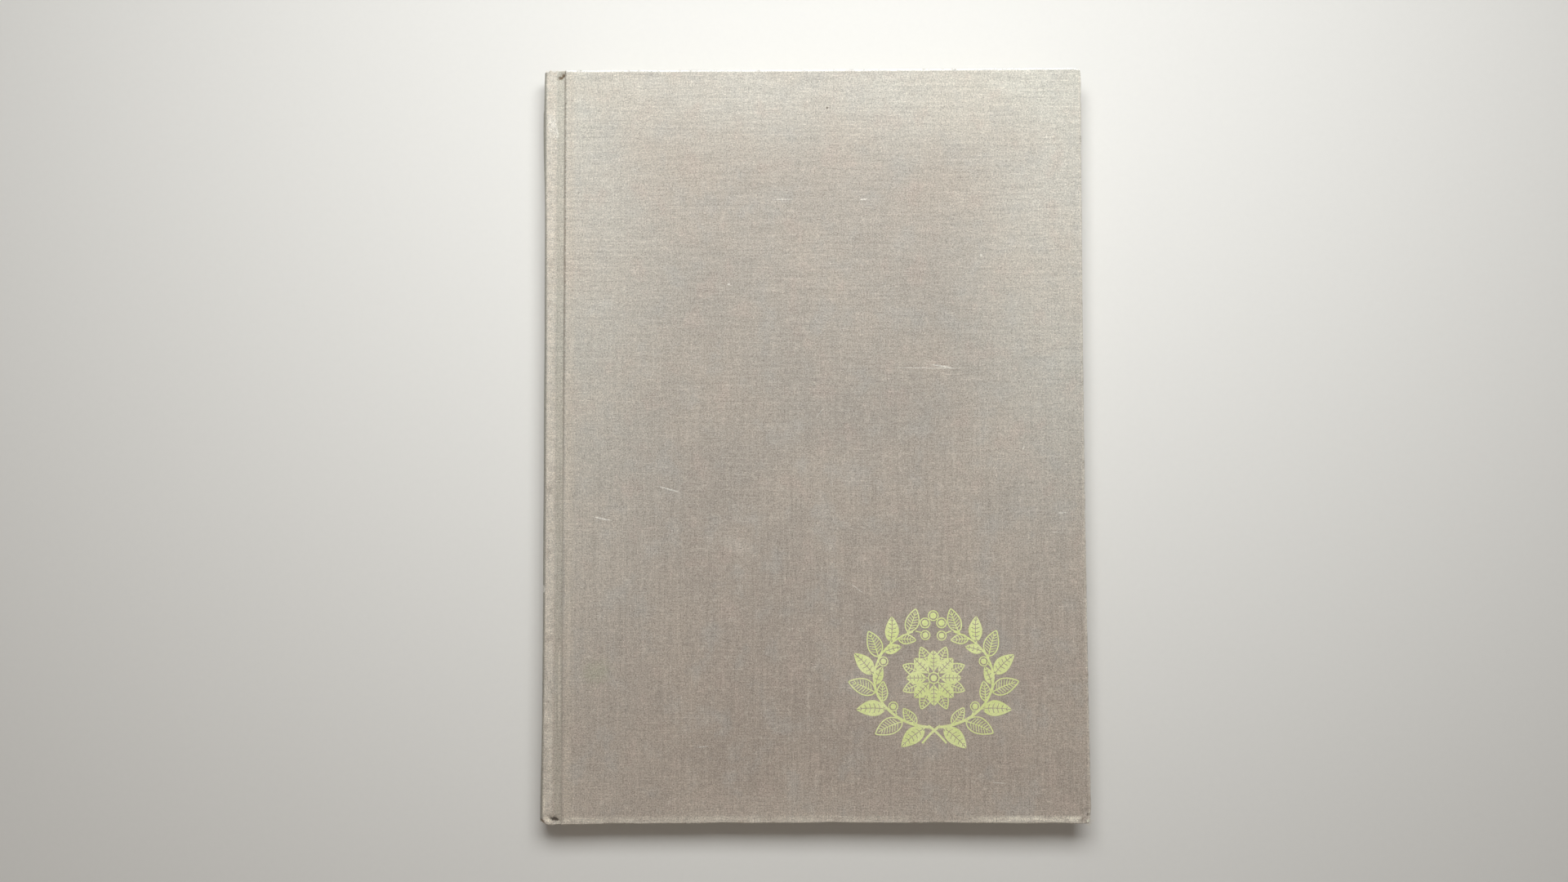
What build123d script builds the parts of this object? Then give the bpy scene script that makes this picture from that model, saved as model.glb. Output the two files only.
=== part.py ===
from build123d import *
import os
from math import sqrt, degrees, asin

# A slim, large-format, cloth-bound book lying closed on its back cover.
# +X runs from the round spine to the fore edge, +Y from tail to head, +Z up.
# The origin is at the middle of the footprint, on the surface it lies on. Millimetres.

# ---------------------------------------------------------------- overall sizes
book_height = 315.0        # head to tail over the covers
book_width = 227.5         # round spine to fore edge of the covers
book_thickness = 14.0      # over both covers

# ---------------------------------------------------------------- materials
cloth_t = 0.45             # covering cloth with its glue
board_t = 2.3              # grey board
endpaper_t = 0.2           # endpaper leaf
mull_t = 0.25              # spine gauze
lining_t = 0.25            # paper strip on the spine
inlay_t = 0.35             # card strip inside the spine cloth
slack = 0.05               # air between layers that are not glued together

# ---------------------------------------------------------------- layout
square = 3.0               # how far the covers stand past the pages
turn_in = 15.0             # cloth turned in over the board edges
spine_radius = 13.4        # outside of the round back
rib_top_drop = 0.05        # ribs stand this much below the boards
rib_wall_x = 6.4           # from the outermost spine to the wall of the rib
joint_split = 7.25         # from the outermost spine to the line where the cover begins to swing
board_start = 9.4          # from the outermost spine to the covered spine edge of the board
mull_flap = 28.0           # gauze from the joint onto the board
mull_height = 280.0        # shorter than the pages at head and tail
lining_height = 282.0
fore_edge_hollow = 1.0     # how far the fore edge of the pages curves in

# ---------------------------------------------------------------- derived levels
x_spine = -book_width / 2
x_fore = book_width / 2
y_cover = book_height / 2
z_mid = book_thickness / 2
z_top = book_thickness

z_board_top = z_top - cloth_t
z_board_low = z_board_top - board_t
z_paste_low = z_board_low - endpaper_t        # inner face of the front cover
z_fly_low = z_paste_low - endpaper_t          # top of the pages
z_groove_top = z_board_low + mull_t + cloth_t  # cloth at the bottom of the groove

y_page = y_cover - square
x_page = x_fore - square
x_split = x_spine + joint_split
x_wall = x_spine + rib_wall_x
x_board = x_spine + board_start + cloth_t
x_board_fore = x_fore - cloth_t
y_board = y_cover - cloth_t
spine_cx = x_spine + spine_radius             # centre line of the round back

r_cloth_in = spine_radius - cloth_t
r_inlay_in = r_cloth_in - inlay_t
r_lining_out = r_inlay_in - slack
r_lining_in = r_lining_out - lining_t
r_mull_in = r_lining_in - mull_t
r_pages = r_mull_in - slack
r_turn_in = r_mull_in + 2 * slack

z_rib = z_top - rib_top_drop
y_turn = y_cover - turn_in


def tip_x(radius, top):
    """Where the round back of this radius meets the level of the rib's top."""
    return spine_cx - sqrt(radius**2 - (top - z_mid) ** 2)


def back_section(radius, top, wall, floor, right, round_outer, round_wall, round_groove):
    """Closed section inside one surface of the round back: the arc, both ribs, both grooves."""
    low_top = 2 * z_mid - top
    low_floor = 2 * z_mid - floor
    tip = tip_x(radius, top)
    with BuildSketch(Plane.XZ) as section:
        with BuildLine():
            ThreePointArc((tip, low_top), (spine_cx - radius, z_mid), (tip, top))
            Polyline(
                (tip, top), (wall, top), (wall, floor), (right, floor),
                (right, low_floor), (wall, low_floor), (wall, low_top), (tip, low_top),
            )
        make_face()
        # in the sketch, its own Y is the book's height above the floor
        for corner_x, corner_z, radius_here in (
            (tip, top, round_outer), (wall, top, round_wall), (wall, floor, round_groove),
        ):
            for level in (corner_z, 2 * z_mid - corner_z):
                fillet(section.vertices().sort_by_distance((corner_x, level, 0))[0], radius_here)
    return section.sketch


def arc_band(outer, inner, half_height):
    """Section of a strip bent to the round back, between two radii."""
    a = degrees(asin(half_height / outer))
    with BuildSketch(Plane.XZ) as band:
        with BuildLine():
            CenterArc((spine_cx, z_mid), outer, 180 - a, 2 * a)
            CenterArc((spine_cx, z_mid), inner, 180 - a, 2 * a)
            Line(
                PolarPoint(outer, 180 - a), PolarPoint(inner, 180 - a)
            )
            Line(
                PolarPoint(outer, 180 + a), PolarPoint(inner, 180 + a)
            )
        make_face()
    return band.sketch


def PolarPoint(radius, angle):
    """A point on the round back in section, from its radius and angle."""
    p = Vector(radius, 0).rotate(Axis.Z, angle)
    return (spine_cx + p.X, z_mid + p.Y)


os.makedirs("parts", exist_ok=True)

# ================================================================ text block
# Surfaces of the back, from the outside in.
cloth_outer = back_section(spine_radius, z_rib, x_wall, z_groove_top, x_split, 1.05, 1.0, 0.45)
cloth_inner = back_section(r_cloth_in, z_rib - cloth_t, x_wall - cloth_t, z_groove_top - cloth_t, x_split + 1, 0.6, 0.55, 0.8)
cloth_fill = back_section(r_cloth_in, z_rib - cloth_t, x_wall - cloth_t, z_groove_top - cloth_t, x_split, 0.6, 0.55, 0.8)
turned_inner = back_section(r_turn_in, z_rib - cloth_t - 0.3, x_wall - cloth_t - 0.25, z_board_low, x_split + 1, 0.35, 0.35, 1.0)
mull_outer = back_section(r_lining_in, z_rib - cloth_t - slack, x_wall - cloth_t - slack, z_board_low + mull_t, x_split, 0.55, 0.5, 0.85)
mull_inner = back_section(r_mull_in, z_rib - cloth_t - slack - mull_t, x_wall - cloth_t - slack - mull_t, z_board_low, x_split + 1, 0.3, 0.3, 1.05)
pages_outline = back_section(
    r_pages, z_rib - cloth_t - 2 * slack - mull_t, x_wall - cloth_t - 2 * slack - mull_t, z_fly_low, 0.0, 0.25, 0.3, 1.1
)

# sewing stations along the spine
stations = (-142.0, -88.0, -30.0, 30.0, 88.0, 142.0)
stitch_w = 0.8
stitch_depth = 0.5
stitch_groove = arc_band(r_pages + 0.4, r_pages - stitch_depth, 5.2)
stitch_cord = arc_band(r_pages - slack, r_pages - stitch_depth + slack, 5.0)

# All the leaves: round back with its two shoulders, flat faces, hollow fore edge.
with BuildPart() as pages:
    extrude(to_extrude=pages_outline, amount=y_page, both=True)
    with BuildSketch(Plane.XZ):
        with BuildLine():
            ThreePointArc(
                (x_page, z_fly_low), (x_page - fore_edge_hollow, z_mid), (x_page, 2 * z_mid - z_fly_low)
            )
            Polyline(
                (x_page, 2 * z_mid - z_fly_low), (-10, 2 * z_mid - z_fly_low), (-10, z_fly_low), (x_page, z_fly_low)
            )
        make_face()
    extrude(amount=y_page, both=True)
    # saw cuts across the spine for the stitches
    for y in stations:
        extrude(to_extrude=stitch_groove.moved(Location((0, y, 0))), amount=stitch_w / 2, both=True, mode=Mode.SUBTRACT)
pages.part.label = "pages"
export_step(pages.part, "parts/pages.step")

# Stitches that link the folded sections, one across the spine at each station.
with BuildPart() as sewing_thread:
    for y in stations:
        extrude(to_extrude=stitch_cord.moved(Location((0, y, 0))), amount=stitch_w / 2 - slack, both=True)
sewing_thread.part.label = "sewing_thread"
export_step(sewing_thread.part, "parts/sewing_thread.step")

# Free half of the front endpaper, with the fold that runs to the joint.
with BuildPart() as front_flyleaf:
    with BuildSketch(Plane.XY.offset(z_fly_low)):
        with Locations(((x_split - 0.45 + x_page) / 2, 0)):
            Rectangle(x_page - x_split + 0.45, 2 * y_page)
    extrude(amount=endpaper_t)
    with BuildSketch(Plane.XY.offset(z_paste_low)):
        with Locations((x_split - 0.225, 0)):
            Rectangle(0.45, 2 * y_page)
    extrude(amount=endpaper_t)
front_flyleaf.part.label = "front_flyleaf"
export_step(front_flyleaf.part, "parts/front_flyleaf.step")

with BuildPart() as back_flyleaf:
    mirror(front_flyleaf.part, about=Plane.XY.offset(z_mid))
back_flyleaf.part.label = "back_flyleaf"
export_step(back_flyleaf.part, "parts/back_flyleaf.step")

# Gauze glued over the round back and both shoulders, down to the joints.
with BuildPart() as mull:
    extrude(to_extrude=mull_outer, amount=mull_height / 2, both=True)
    extrude(to_extrude=mull_inner, amount=mull_height / 2, both=True, mode=Mode.SUBTRACT)
mull.part.label = "mull"
export_step(mull.part, "parts/mull.step")

# Paper strip over the gauze.
with BuildPart() as spine_lining:
    extrude(to_extrude=arc_band(r_lining_out, r_lining_in, 5.2), amount=lining_height / 2, both=True)
spine_lining.part.label = "spine_lining"
export_step(spine_lining.part, "parts/spine_lining.step")

# Card strip that stiffens the spine cloth, as tall as the boards.
with BuildPart() as spine_inlay:
    extrude(to_extrude=arc_band(r_cloth_in, r_inlay_in, 5.4), amount=y_board, both=True)
spine_inlay.part.label = "spine_inlay"
export_step(spine_inlay.part, "parts/spine_inlay.step")

# Small cords worked over the ends of the round back, each flat where it sits on the leaves.
band_r = 0.95
band_path_r = r_turn_in - 0.1 - band_r
band_half_angle = 23.0
band_start = Plane(
    origin=(spine_cx, 0, z_mid), x_dir=Vector(-1, 0, 0).rotate(Axis.Y, -band_half_angle),
    z_dir=Vector(0, 0, 1).rotate(Axis.Y, -band_half_angle),
)
with BuildPart() as head_band:
    with BuildSketch(band_start) as bead:
        # the sketch's y runs against the book's height here, so the cord sits at -y
        with Locations((band_path_r, -(y_page + band_r - 0.2))):
            Circle(band_r)
        with Locations((band_path_r, -(y_page - 1.0))):
            Rectangle(4.0, 2.0, mode=Mode.SUBTRACT)
    revolve(axis=Axis((spine_cx, 0, z_mid), (0, 1, 0)), revolution_arc=2 * band_half_angle)
head_band.part.label = "head_band"
export_step(head_band.part, "parts/head_band.step")

with BuildPart() as tail_band:
    mirror(head_band.part, about=Plane.XZ)
tail_band.part.label = "tail_band"
export_step(tail_band.part, "parts/tail_band.step")

# Covering cloth over the round back: both ribs, both groove bottoms, and the ends
# turned in over the card strip, so that it is double near head and tail.
with BuildSketch(Plane.XZ) as end_fold:
    add(cloth_fill)
    add(turned_inner, mode=Mode.SUBTRACT)
with BuildSketch(Plane.XZ) as end_layer:
    add(end_fold.sketch)
    add(arc_band(r_cloth_in, r_inlay_in, 5.4), mode=Mode.SUBTRACT)
with BuildPart() as spine_cloth:
    extrude(to_extrude=cloth_outer, amount=y_cover, both=True)
    extrude(to_extrude=cloth_inner, amount=y_cover + 1, both=True, mode=Mode.SUBTRACT)
    for start, end in ((y_board, y_turn), (-y_turn, -y_board)):
        extrude(to_extrude=end_layer.sketch.moved(Location((0, start, 0))), amount=start - end)
    for start in (y_cover, -y_board):
        extrude(to_extrude=end_fold.sketch.moved(Location((0, start, 0))), amount=cloth_t)
spine_cloth.part.label = "spine_cloth"
export_step(spine_cloth.part, "parts/spine_cloth.step")

# ================================================================ front cover
# Grey board: flat slab with the beds that the cloth turn-ins and the gauze are pressed into.
x_turn = x_fore - turn_in
x_flap = x_split + slack + mull_flap
with BuildPart() as front_board:
    with BuildSketch(Plane.XY.offset(z_board_low)):
        with Locations(((x_board + x_board_fore) / 2, 0)):
            Rectangle(x_board_fore - x_board, 2 * y_board)
    extrude(amount=board_t)
    fillet(front_board.edges().filter_by(Axis.Z), 0.8)
    fillet(front_board.faces().sort_by(Axis.Z)[-1].edges(), 0.3)
    with BuildSketch(Plane.XY.offset(z_board_low)):
        with Locations(((x_board + x_board_fore) / 2, 0)):
            Rectangle(x_board_fore - x_board + 2, 2 * y_board + 2)
        with Locations(((x_board - 5 + x_turn) / 2, 0)):
            Rectangle(x_turn - x_board + 5, 2 * y_turn, mode=Mode.SUBTRACT)
    extrude(amount=cloth_t, mode=Mode.SUBTRACT)
    with BuildSketch(Plane.XY.offset(z_board_low)):
        with Locations(((x_board - 1 + x_flap) / 2, 0)):
            Rectangle(x_flap - x_board + 1, mull_height)
    extrude(amount=mull_t, mode=Mode.SUBTRACT)
front_board.part.label = "front_board"
export_step(front_board.part, "parts/front_board.step")

# Gauze from the joint onto the inside of the board.
with BuildPart() as front_mull_flap:
    with BuildSketch(Plane.XY.offset(z_board_low)):
        with Locations(((x_split + slack + x_flap) / 2, 0)):
            Rectangle(x_flap - x_split - slack, mull_height)
    extrude(amount=mull_t)
front_mull_flap.part.label = "front_mull_flap"
export_step(front_mull_flap.part, "parts/front_mull_flap.step")

# Half of the endpaper that is glued down inside the cover.
with BuildPart() as front_pastedown:
    with BuildSketch(Plane.XY.offset(z_paste_low)):
        with Locations(((x_split + slack + x_page) / 2, 0)):
            Rectangle(x_page - x_split - slack, 2 * y_page)
    extrude(amount=endpaper_t)
front_pastedown.part.label = "front_pastedown"
export_step(front_pastedown.part, "parts/front_pastedown.step")

# Covering cloth of the front board: the outer face, round over the edges, down the spine
# edge of the board to the bottom of the groove, and turned in on the inside with
# mitred corners.
with BuildPart() as front_cover_cloth:
    with BuildSketch(Plane.XZ) as cover_section:
        with BuildLine():
            Polyline(
                (x_split + slack, z_board_low), (x_split + slack, z_groove_top),
                (x_board - cloth_t, z_groove_top), (x_board - cloth_t, z_top),
                (x_fore, z_top), (x_fore, z_board_low), (x_split + slack, z_board_low),
            )
        make_face()
        crest = cover_section.vertices().filter_by_position(Axis.X, x_board - cloth_t - 0.01, x_board - cloth_t + 0.01)
        fillet(crest.sort_by(Axis.Y)[-1], 0.75)
        foot = cover_section.vertices().filter_by_position(Axis.X, x_board - cloth_t - 0.01, x_board - cloth_t + 0.01)
        fillet(foot.sort_by(Axis.Y)[0], 0.45)
    extrude(amount=y_cover, both=True)
    corners = front_cover_cloth.edges().filter_by(Axis.Z).filter_by_position(Axis.X, x_fore - 0.01, x_fore + 0.01)
    fillet(corners, 1.25)
    rim = front_cover_cloth.faces().sort_by(Axis.Z)[-1].edges()
    fillet([e for e in rim if e.center().X > x_board or abs(e.center().Y) > y_cover - 0.01], 0.6)
    # the board and its beds
    add(front_board.part, mode=Mode.SUBTRACT)
    # inside face between the turn-ins: no cloth there
    with BuildSketch(Plane.XY.offset(z_board_low)):
        with Locations(((x_split - 1 + x_turn) / 2, 0)):
            Rectangle(x_turn - x_split + 1, 2 * y_turn)
    extrude(amount=mull_t, mode=Mode.SUBTRACT)
    # mitre cuts from the inner corners of the turn-ins out to the board's corners
    for side in (1, -1):
        with BuildSketch(Plane.XY.offset(z_board_low - 0.5)):
            with BuildLine():
                Polyline(
                    (x_turn - 1.1, side * (y_turn - 0.9)), (x_turn - 0.9, side * (y_turn - 1.1)),
                    (x_fore - 1.4, side * (y_cover - 1.6)), (x_fore - 1.6, side * (y_cover - 1.4)),
                    (x_turn - 1.1, side * (y_turn - 0.9)),
                )
            make_face()
        extrude(amount=0.5 + cloth_t, mode=Mode.SUBTRACT)
front_cover_cloth.part.label = "front_cover_cloth"
export_step(front_cover_cloth.part, "parts/front_cover_cloth.step")

# ================================================================ back cover
# The back cover is the front cover mirrored in the book's middle plane.
with BuildPart() as back_board:
    mirror(front_board.part, about=Plane.XY.offset(z_mid))
back_board.part.label = "back_board"
export_step(back_board.part, "parts/back_board.step")

with BuildPart() as back_mull_flap:
    mirror(front_mull_flap.part, about=Plane.XY.offset(z_mid))
back_mull_flap.part.label = "back_mull_flap"
export_step(back_mull_flap.part, "parts/back_mull_flap.step")

with BuildPart() as back_pastedown:
    mirror(front_pastedown.part, about=Plane.XY.offset(z_mid))
back_pastedown.part.label = "back_pastedown"
export_step(back_pastedown.part, "parts/back_pastedown.step")

with BuildPart() as back_cover_cloth:
    mirror(front_cover_cloth.part, about=Plane.XY.offset(z_mid))
back_cover_cloth.part.label = "back_cover_cloth"
export_step(back_cover_cloth.part, "parts/back_cover_cloth.step")

print("hinge axis front", round(x_spine + 3.85, 3), round(z_paste_low + 1.25, 3))
print("hinge axis back", round(x_spine + 3.85, 3), round(2 * z_mid - z_paste_low - 1.25, 3))
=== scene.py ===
import bpy, math, random
import numpy as np
from mathutils import Vector, Matrix, Euler, noise


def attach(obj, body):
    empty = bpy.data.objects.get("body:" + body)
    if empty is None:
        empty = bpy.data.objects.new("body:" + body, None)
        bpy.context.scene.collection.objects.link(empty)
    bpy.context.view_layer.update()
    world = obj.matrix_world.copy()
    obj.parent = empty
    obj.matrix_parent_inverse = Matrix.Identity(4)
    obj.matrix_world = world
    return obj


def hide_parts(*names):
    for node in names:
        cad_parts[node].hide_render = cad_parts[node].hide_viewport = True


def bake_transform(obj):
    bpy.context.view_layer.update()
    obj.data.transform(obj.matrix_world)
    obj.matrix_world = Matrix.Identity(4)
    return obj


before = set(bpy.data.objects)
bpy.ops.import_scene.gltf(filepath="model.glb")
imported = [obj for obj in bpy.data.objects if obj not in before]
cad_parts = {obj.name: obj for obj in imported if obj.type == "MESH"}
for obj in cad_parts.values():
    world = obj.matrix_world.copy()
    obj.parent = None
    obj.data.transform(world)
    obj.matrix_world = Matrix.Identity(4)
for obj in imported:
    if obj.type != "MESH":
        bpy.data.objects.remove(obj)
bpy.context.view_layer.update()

# A cloth-bound book lying on its back cover. Lengths below are millimetres in the CAD
# frame and become metres where a mesh is made.
MM = 0.001
random.seed(7)
rng = np.random.default_rng(7)

H2, XS, XF, T = 157.5, -113.75, 113.75, 14.0      # half height, spine, fore edge, thickness
YP, XP = 154.5, 110.75                            # page block: half height, fore edge
ZB0, ZB1 = 11.25, 13.55                           # front board
ZP0 = 11.05                                       # inner face of the front pastedown
CX, CZ, R = -100.35, 7.0, 13.4                    # round back: centre and outside radius
AXX, AXZ = -109.9, 12.3                           # hinge line of the front cover
HINGE_A, HINGE_B = -107.3, -105.5                 # across the joint: the cloth and the endpaper are divided finer between these

scene = bpy.context.scene


# ------------------------------------------------------------------ helpers
def mesh_object(name, verts, faces, attrs=None, smooth=True):
    """Object from vertices in mm. attrs: {name: (N,3) array}, kept at rest for the materials."""
    me = bpy.data.meshes.new(name)
    me.from_pydata([tuple(v) for v in (np.asarray(verts, float) * MM)], [], faces)
    me.update()
    for key, val in (attrs or {}).items():
        val = np.asarray(val, np.float32)
        if val.ndim == 1:
            a = me.attributes.new(key, "FLOAT", "POINT")
            a.data.foreach_set("value", val)
        else:
            a = me.attributes.new(key, "FLOAT_VECTOR", "POINT")
            a.data.foreach_set("vector", val.ravel())
    if smooth:
        me.polygons.foreach_set("use_smooth", [True] * len(me.polygons))
    me.update()
    ob = bpy.data.objects.new(name, me)
    scene.collection.objects.link(ob)
    return ob


def sstep(a, b, x):
    t = np.clip((np.asarray(x, float) - a) / (b - a), 0, 1)
    return t * t * (3 - 2 * t)


def vnoise(p, scale, seed=0.0):
    """Smooth noise in -1..1 at points in mm, with features about scale mm across."""
    return np.array([noise.noise(Vector((x / scale + seed, y / scale - seed, z / scale + 2 * seed))) for x, y, z in p])


def fillet_line(pts, radii, step=0.3, straight=2.0):
    """Points along a polyline with rounded corners, and straight runs divided."""
    pts = [np.array(p, float) for p in pts]
    out = [pts[0]]
    for i in range(1, len(pts) - 1):
        a, b, c, r = pts[i - 1], pts[i], pts[i + 1], radii[i]
        u, v = a - b, c - b
        u, v = u / np.linalg.norm(u), v / np.linalg.norm(v)
        ang = math.acos(np.clip(u @ v, -1, 1))
        if r <= 0 or math.pi - ang < 0.02:
            out.append(b)
            continue
        tl = r / math.tan(ang / 2)
        p0, p1 = b + u * tl, b + v * tl
        m = (u + v) / np.linalg.norm(u + v)
        cen = b + m * r / math.sin(ang / 2)
        a0 = math.atan2(*(p0 - cen)[::-1])
        a1 = math.atan2(*(p1 - cen)[::-1])
        d = (a1 - a0 + math.pi) % (2 * math.pi) - math.pi
        n = max(3, int(abs(d) * r / step) + 1)
        out += [cen + r * np.array([math.cos(a0 + d * k / n), math.sin(a0 + d * k / n)]) for k in range(n + 1)]
    out.append(pts[-1])
    full = [out[0]]
    for p in out[1:]:
        q = full[-1]
        n = max(1, int(np.ceil(np.linalg.norm(p - q) / straight)))
        if np.linalg.norm(p - q) > 1e-6:
            full += [q + (p - q) * k / n for k in range(1, n + 1)]
    return np.array(full)


# ------------------------------------------------------------------ section of the covering cloth
arc_end = math.asin(5.55 / R)
arc = [(CX - R * math.cos(a), CZ + R * math.sin(a)) for a in np.linspace(0, arc_end, 13)]
tx, tz = math.sin(arc_end), math.cos(arc_end)
rib = (-112.3, 13.95)
GROOVE_Z = 12.7
corners = [arc[-1], rib, (-108.05, 13.93), (-106.5, GROOVE_Z), (-104.45, GROOVE_Z), (-103.85, 14.0), (-101.8, 14.0)]
tail_pts = fillet_line(corners, [0, 0.62, 1.6, 1.1, 0.55, 0.62, 0], step=0.2, straight=0.45)
sec = np.vstack([np.array(arc[:-1]), tail_pts])
# finer steps across the joint
fine = [sec[0]]
for p in sec[1:]:
    q = fine[-1]
    n = 3 if (HINGE_A - 0.3 < p[0] < HINGE_B + 0.3) else 1
    fine += [q + (p - q) * k / n for k in range(1, n + 1)]
sec = np.array(fine)
board_x = np.concatenate([[-101.0], np.linspace(-99, 99, 67), [101.5, 104.0, 106.5, 108.5, 110.2, 111.3, 112.15]])
sec = np.vstack([sec, np.column_stack([board_x, np.full(len(board_x), T)])])
NS = len(sec)
tan = np.gradient(sec, axis=0)
tan /= np.linalg.norm(tan, axis=1)[:, None]
nrm = np.column_stack([tan[:, 1], -tan[:, 0]])    # towards the inside of the book
on_board = sec[:, 0] > -105.1
nrm[on_board] = (0, -1)
ds = np.concatenate([[0], np.cumsum(np.linalg.norm(np.diff(sec, axis=0), axis=1))])
# thickness of what the turned-in cloth wraps at each station
deep = np.where(on_board, sec[:, 1] - ZB0, 0.0)
spine_part = ~on_board
w_rib = sstep(-112.6, -111.6, sec[:, 0])
deep = np.where(spine_part, 1.2 * (1 - w_rib) + 0.75 * w_rib, deep)
w_gr = sstep(-107.6, -106.2, sec[:, 0])
deep = np.where(spine_part, deep * (1 - w_gr) + (GROOVE_Z - ZB0) * w_gr, deep)

M_IN = 1.6                                        # flat part stops this far inside the edge
rows = np.unique(np.concatenate([
    np.linspace(-(H2 - M_IN), H2 - M_IN, 160),
    np.linspace(125, H2 - M_IN, 36), -np.linspace(135, H2 - M_IN, 24)]).round(3))
NR = len(rows)
WORN = (0.25, 0.6, 0.9, 1.0, 0.9, 0.7, 0.3, 0.4, 0.35, 0.2)      # round the edge, from the face to the turned-in side

def cover_cloth(name, front):
    """Half of the covering cloth: round back from its middle line, rib, groove, board, and the turned-in edges."""
    V, A, W = [], [], []                          # positions; (s, t, rim) along the threads; how rubbed
    grid = np.zeros((NS, NR), int)
    for i in range(NS):
        for j in range(NR):
            grid[i, j] = len(V)
            V.append((sec[i, 0], rows[j], sec[i, 1]))
            A.append((ds[i], rows[j], 0.0))
            W.append(0.0)
    F = []
    for i in range(NS - 1):
        for j in range(NR - 1):
            F.append((grid[i, j], grid[i + 1, j], grid[i + 1, j + 1], grid[i, j + 1]))

    # stations round the three free sides: tail edge, corner, fore edge, corner, head edge
    rc = 1.25
    st = []
    for i in range(NS):
        st.append(("end", i, -1, grid[i, 0]))
    for a in np.linspace(-90, 0, 7)[1:-1]:
        st.append(("corner", math.radians(a), -1, grid[NS - 1, 0]))
    for j in range(NR):
        st.append(("fore", j, 0, grid[NS - 1, j]))
    for a in np.linspace(0, 90, 7)[1:-1]:
        st.append(("corner", math.radians(a), 1, grid[NS - 1, NR - 1]))
    for i in range(NS - 1, -1, -1):
        st.append(("end", i, 1, grid[i, NR - 1]))

    def profile(D):
        re = min(0.62, 0.42 * D)
        rb = min(0.35, 0.35 * D)
        pts = [(-(re + 0.45), 0.0)]
        pts += [(-re + re * math.sin(a), re - re * math.cos(a)) for a in np.radians([0, 22, 45, 68, 90])]
        pts += [(0.0, re + (D - re - rb) * 0.5)]
        pts += [(-rb + rb * math.cos(a), D - rb + rb * math.sin(a)) for a in np.radians([0, 45, 90])]
        pts += [(-1.0, D), (-1.8, D), (-2.6, D), (-4.0, D), (-7.0, D), (-11.0, D), (-14.9, D)]
        return pts

    K = len(profile(2.75))
    ring = np.zeros((len(st), K), int)
    side_tag = []
    for n, (kind, idx, sgn, _) in enumerate(st):
        D = deep[idx] if kind == "end" else 2.75
        run, last = M_IN - 1.07, (-1.07, 0.0)      # length of cloth from the flat part, so that the threads keep their size
        for k, (o, d) in enumerate(profile(D)):
            run += math.hypot(o - last[0], d - last[1])
            last = (o, d)
            if kind == "end":
                x = sec[idx, 0] + nrm[idx, 0] * d
                z = sec[idx, 1] + nrm[idx, 1] * d
                if o < -M_IN and idx > NS - 60:   # keep the turned-in edge inside its mitre
                    x = min(x, XF + o)
                y = sgn * (H2 + o)
                s, t = ds[idx], sgn * (H2 - M_IN + run)
            elif kind == "fore":
                x, z = XF + o, T - d
                y = rows[idx]
                if o < -M_IN:
                    y = math.copysign(min(abs(y), H2 + o), y)
                s, t = ds[-1] + run, y
            else:
                if o > -rc:
                    x = XF - rc + (rc + o) * math.cos(idx)
                    y = sgn * (H2 - rc) + (rc + o) * math.sin(idx)
                else:
                    x, y = XF + o, sgn * (H2 + o)
                z = T - d
                s, t = ds[-1] + run * math.cos(idx), sgn * (H2 - M_IN) + run * math.sin(idx)
            ring[n, k] = len(V)
            V.append((x, y, z))
            A.append((s, t, 1.0 if k > 0 else 0.5))
            W.append(WORN[k] if k < len(WORN) else 0.0)
    for n in range(len(st) - 1):
        a, b = st[n][3], st[n + 1][3]
        q = (a, ring[n, 0], ring[n + 1, 0], b)
        F.append(q if a != b else (a, ring[n, 0], ring[n + 1, 0]))
        for k in range(K - 1):
            F.append((ring[n, k], ring[n, k + 1], ring[n + 1, k + 1], ring[n + 1, k]))
    V, A, W = np.array(V), np.array(A), np.array(W)
    W = np.maximum(W, 0.55 * sstep(13.55, 13.9, V[:, 2]) * sstep(-111.9, -111.2, V[:, 0]) * (1 - sstep(-108.6, -107.8, V[:, 0])))
    F = [tuple(dict.fromkeys(int(x) for x in f)) for f in F]
    F = [f for f in F if len(f) > 2]
    return V, A, W, F


def drop_thin(V, F):
    """Leaves out faces with no area."""
    keep = []
    for f in F:
        p = V[list(f)]
        n = np.zeros(3)
        for k in range(1, len(f) - 1):
            n += np.cross(p[k] - p[0], p[k + 1] - p[0])
        if np.linalg.norm(n) > 1e-7:
            keep.append(f)
    return keep


# ------------------------------------------------------------------ warp, wear and knocks
def warp(V, front=True):
    """The boards have drawn up a little at the fore-edge corners, and the edges bow in between the corners."""
    V = V.copy()
    x, y = V[:, 0], V[:, 1]
    f = sstep(-101, XF, x)
    ay = np.abs(y) / H2
    if front:
        lift = 1.15 * f ** 1.6 * ay ** 2.2
        V[:, 2] += lift
        bow = np.where(y > 0, 0.15, 0.45) * (1 - (x / XF) ** 2)
        V[:, 1] -= np.sign(y) * bow * sstep(0.75, 1.0, ay) * sstep(-113, -95, x)
        V[:, 0] -= 0.5 * (1 - ay ** 2) * sstep(60, XF, x)
    # the round back has drawn in between its ends, and the rib a little with it
    high = sstep(11.6, 13.4, V[:, 2])
    rib_in = 0.62 * np.exp(-((y + 5) / 105) ** 4) * high * (1 - sstep(-112.2, -109.5, x))
    out = -0.42 + 0.70 * np.exp(-((y + 158) / 34) ** 2) + 0.85 * np.exp(-((y - 137) / 28) ** 2) + 0.03 * np.sin(y / 9.0)
    V[:, 0] += rib_in - out * (1 - high) * (1 - sstep(-113.2, -111.9, x))
    return V


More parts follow.
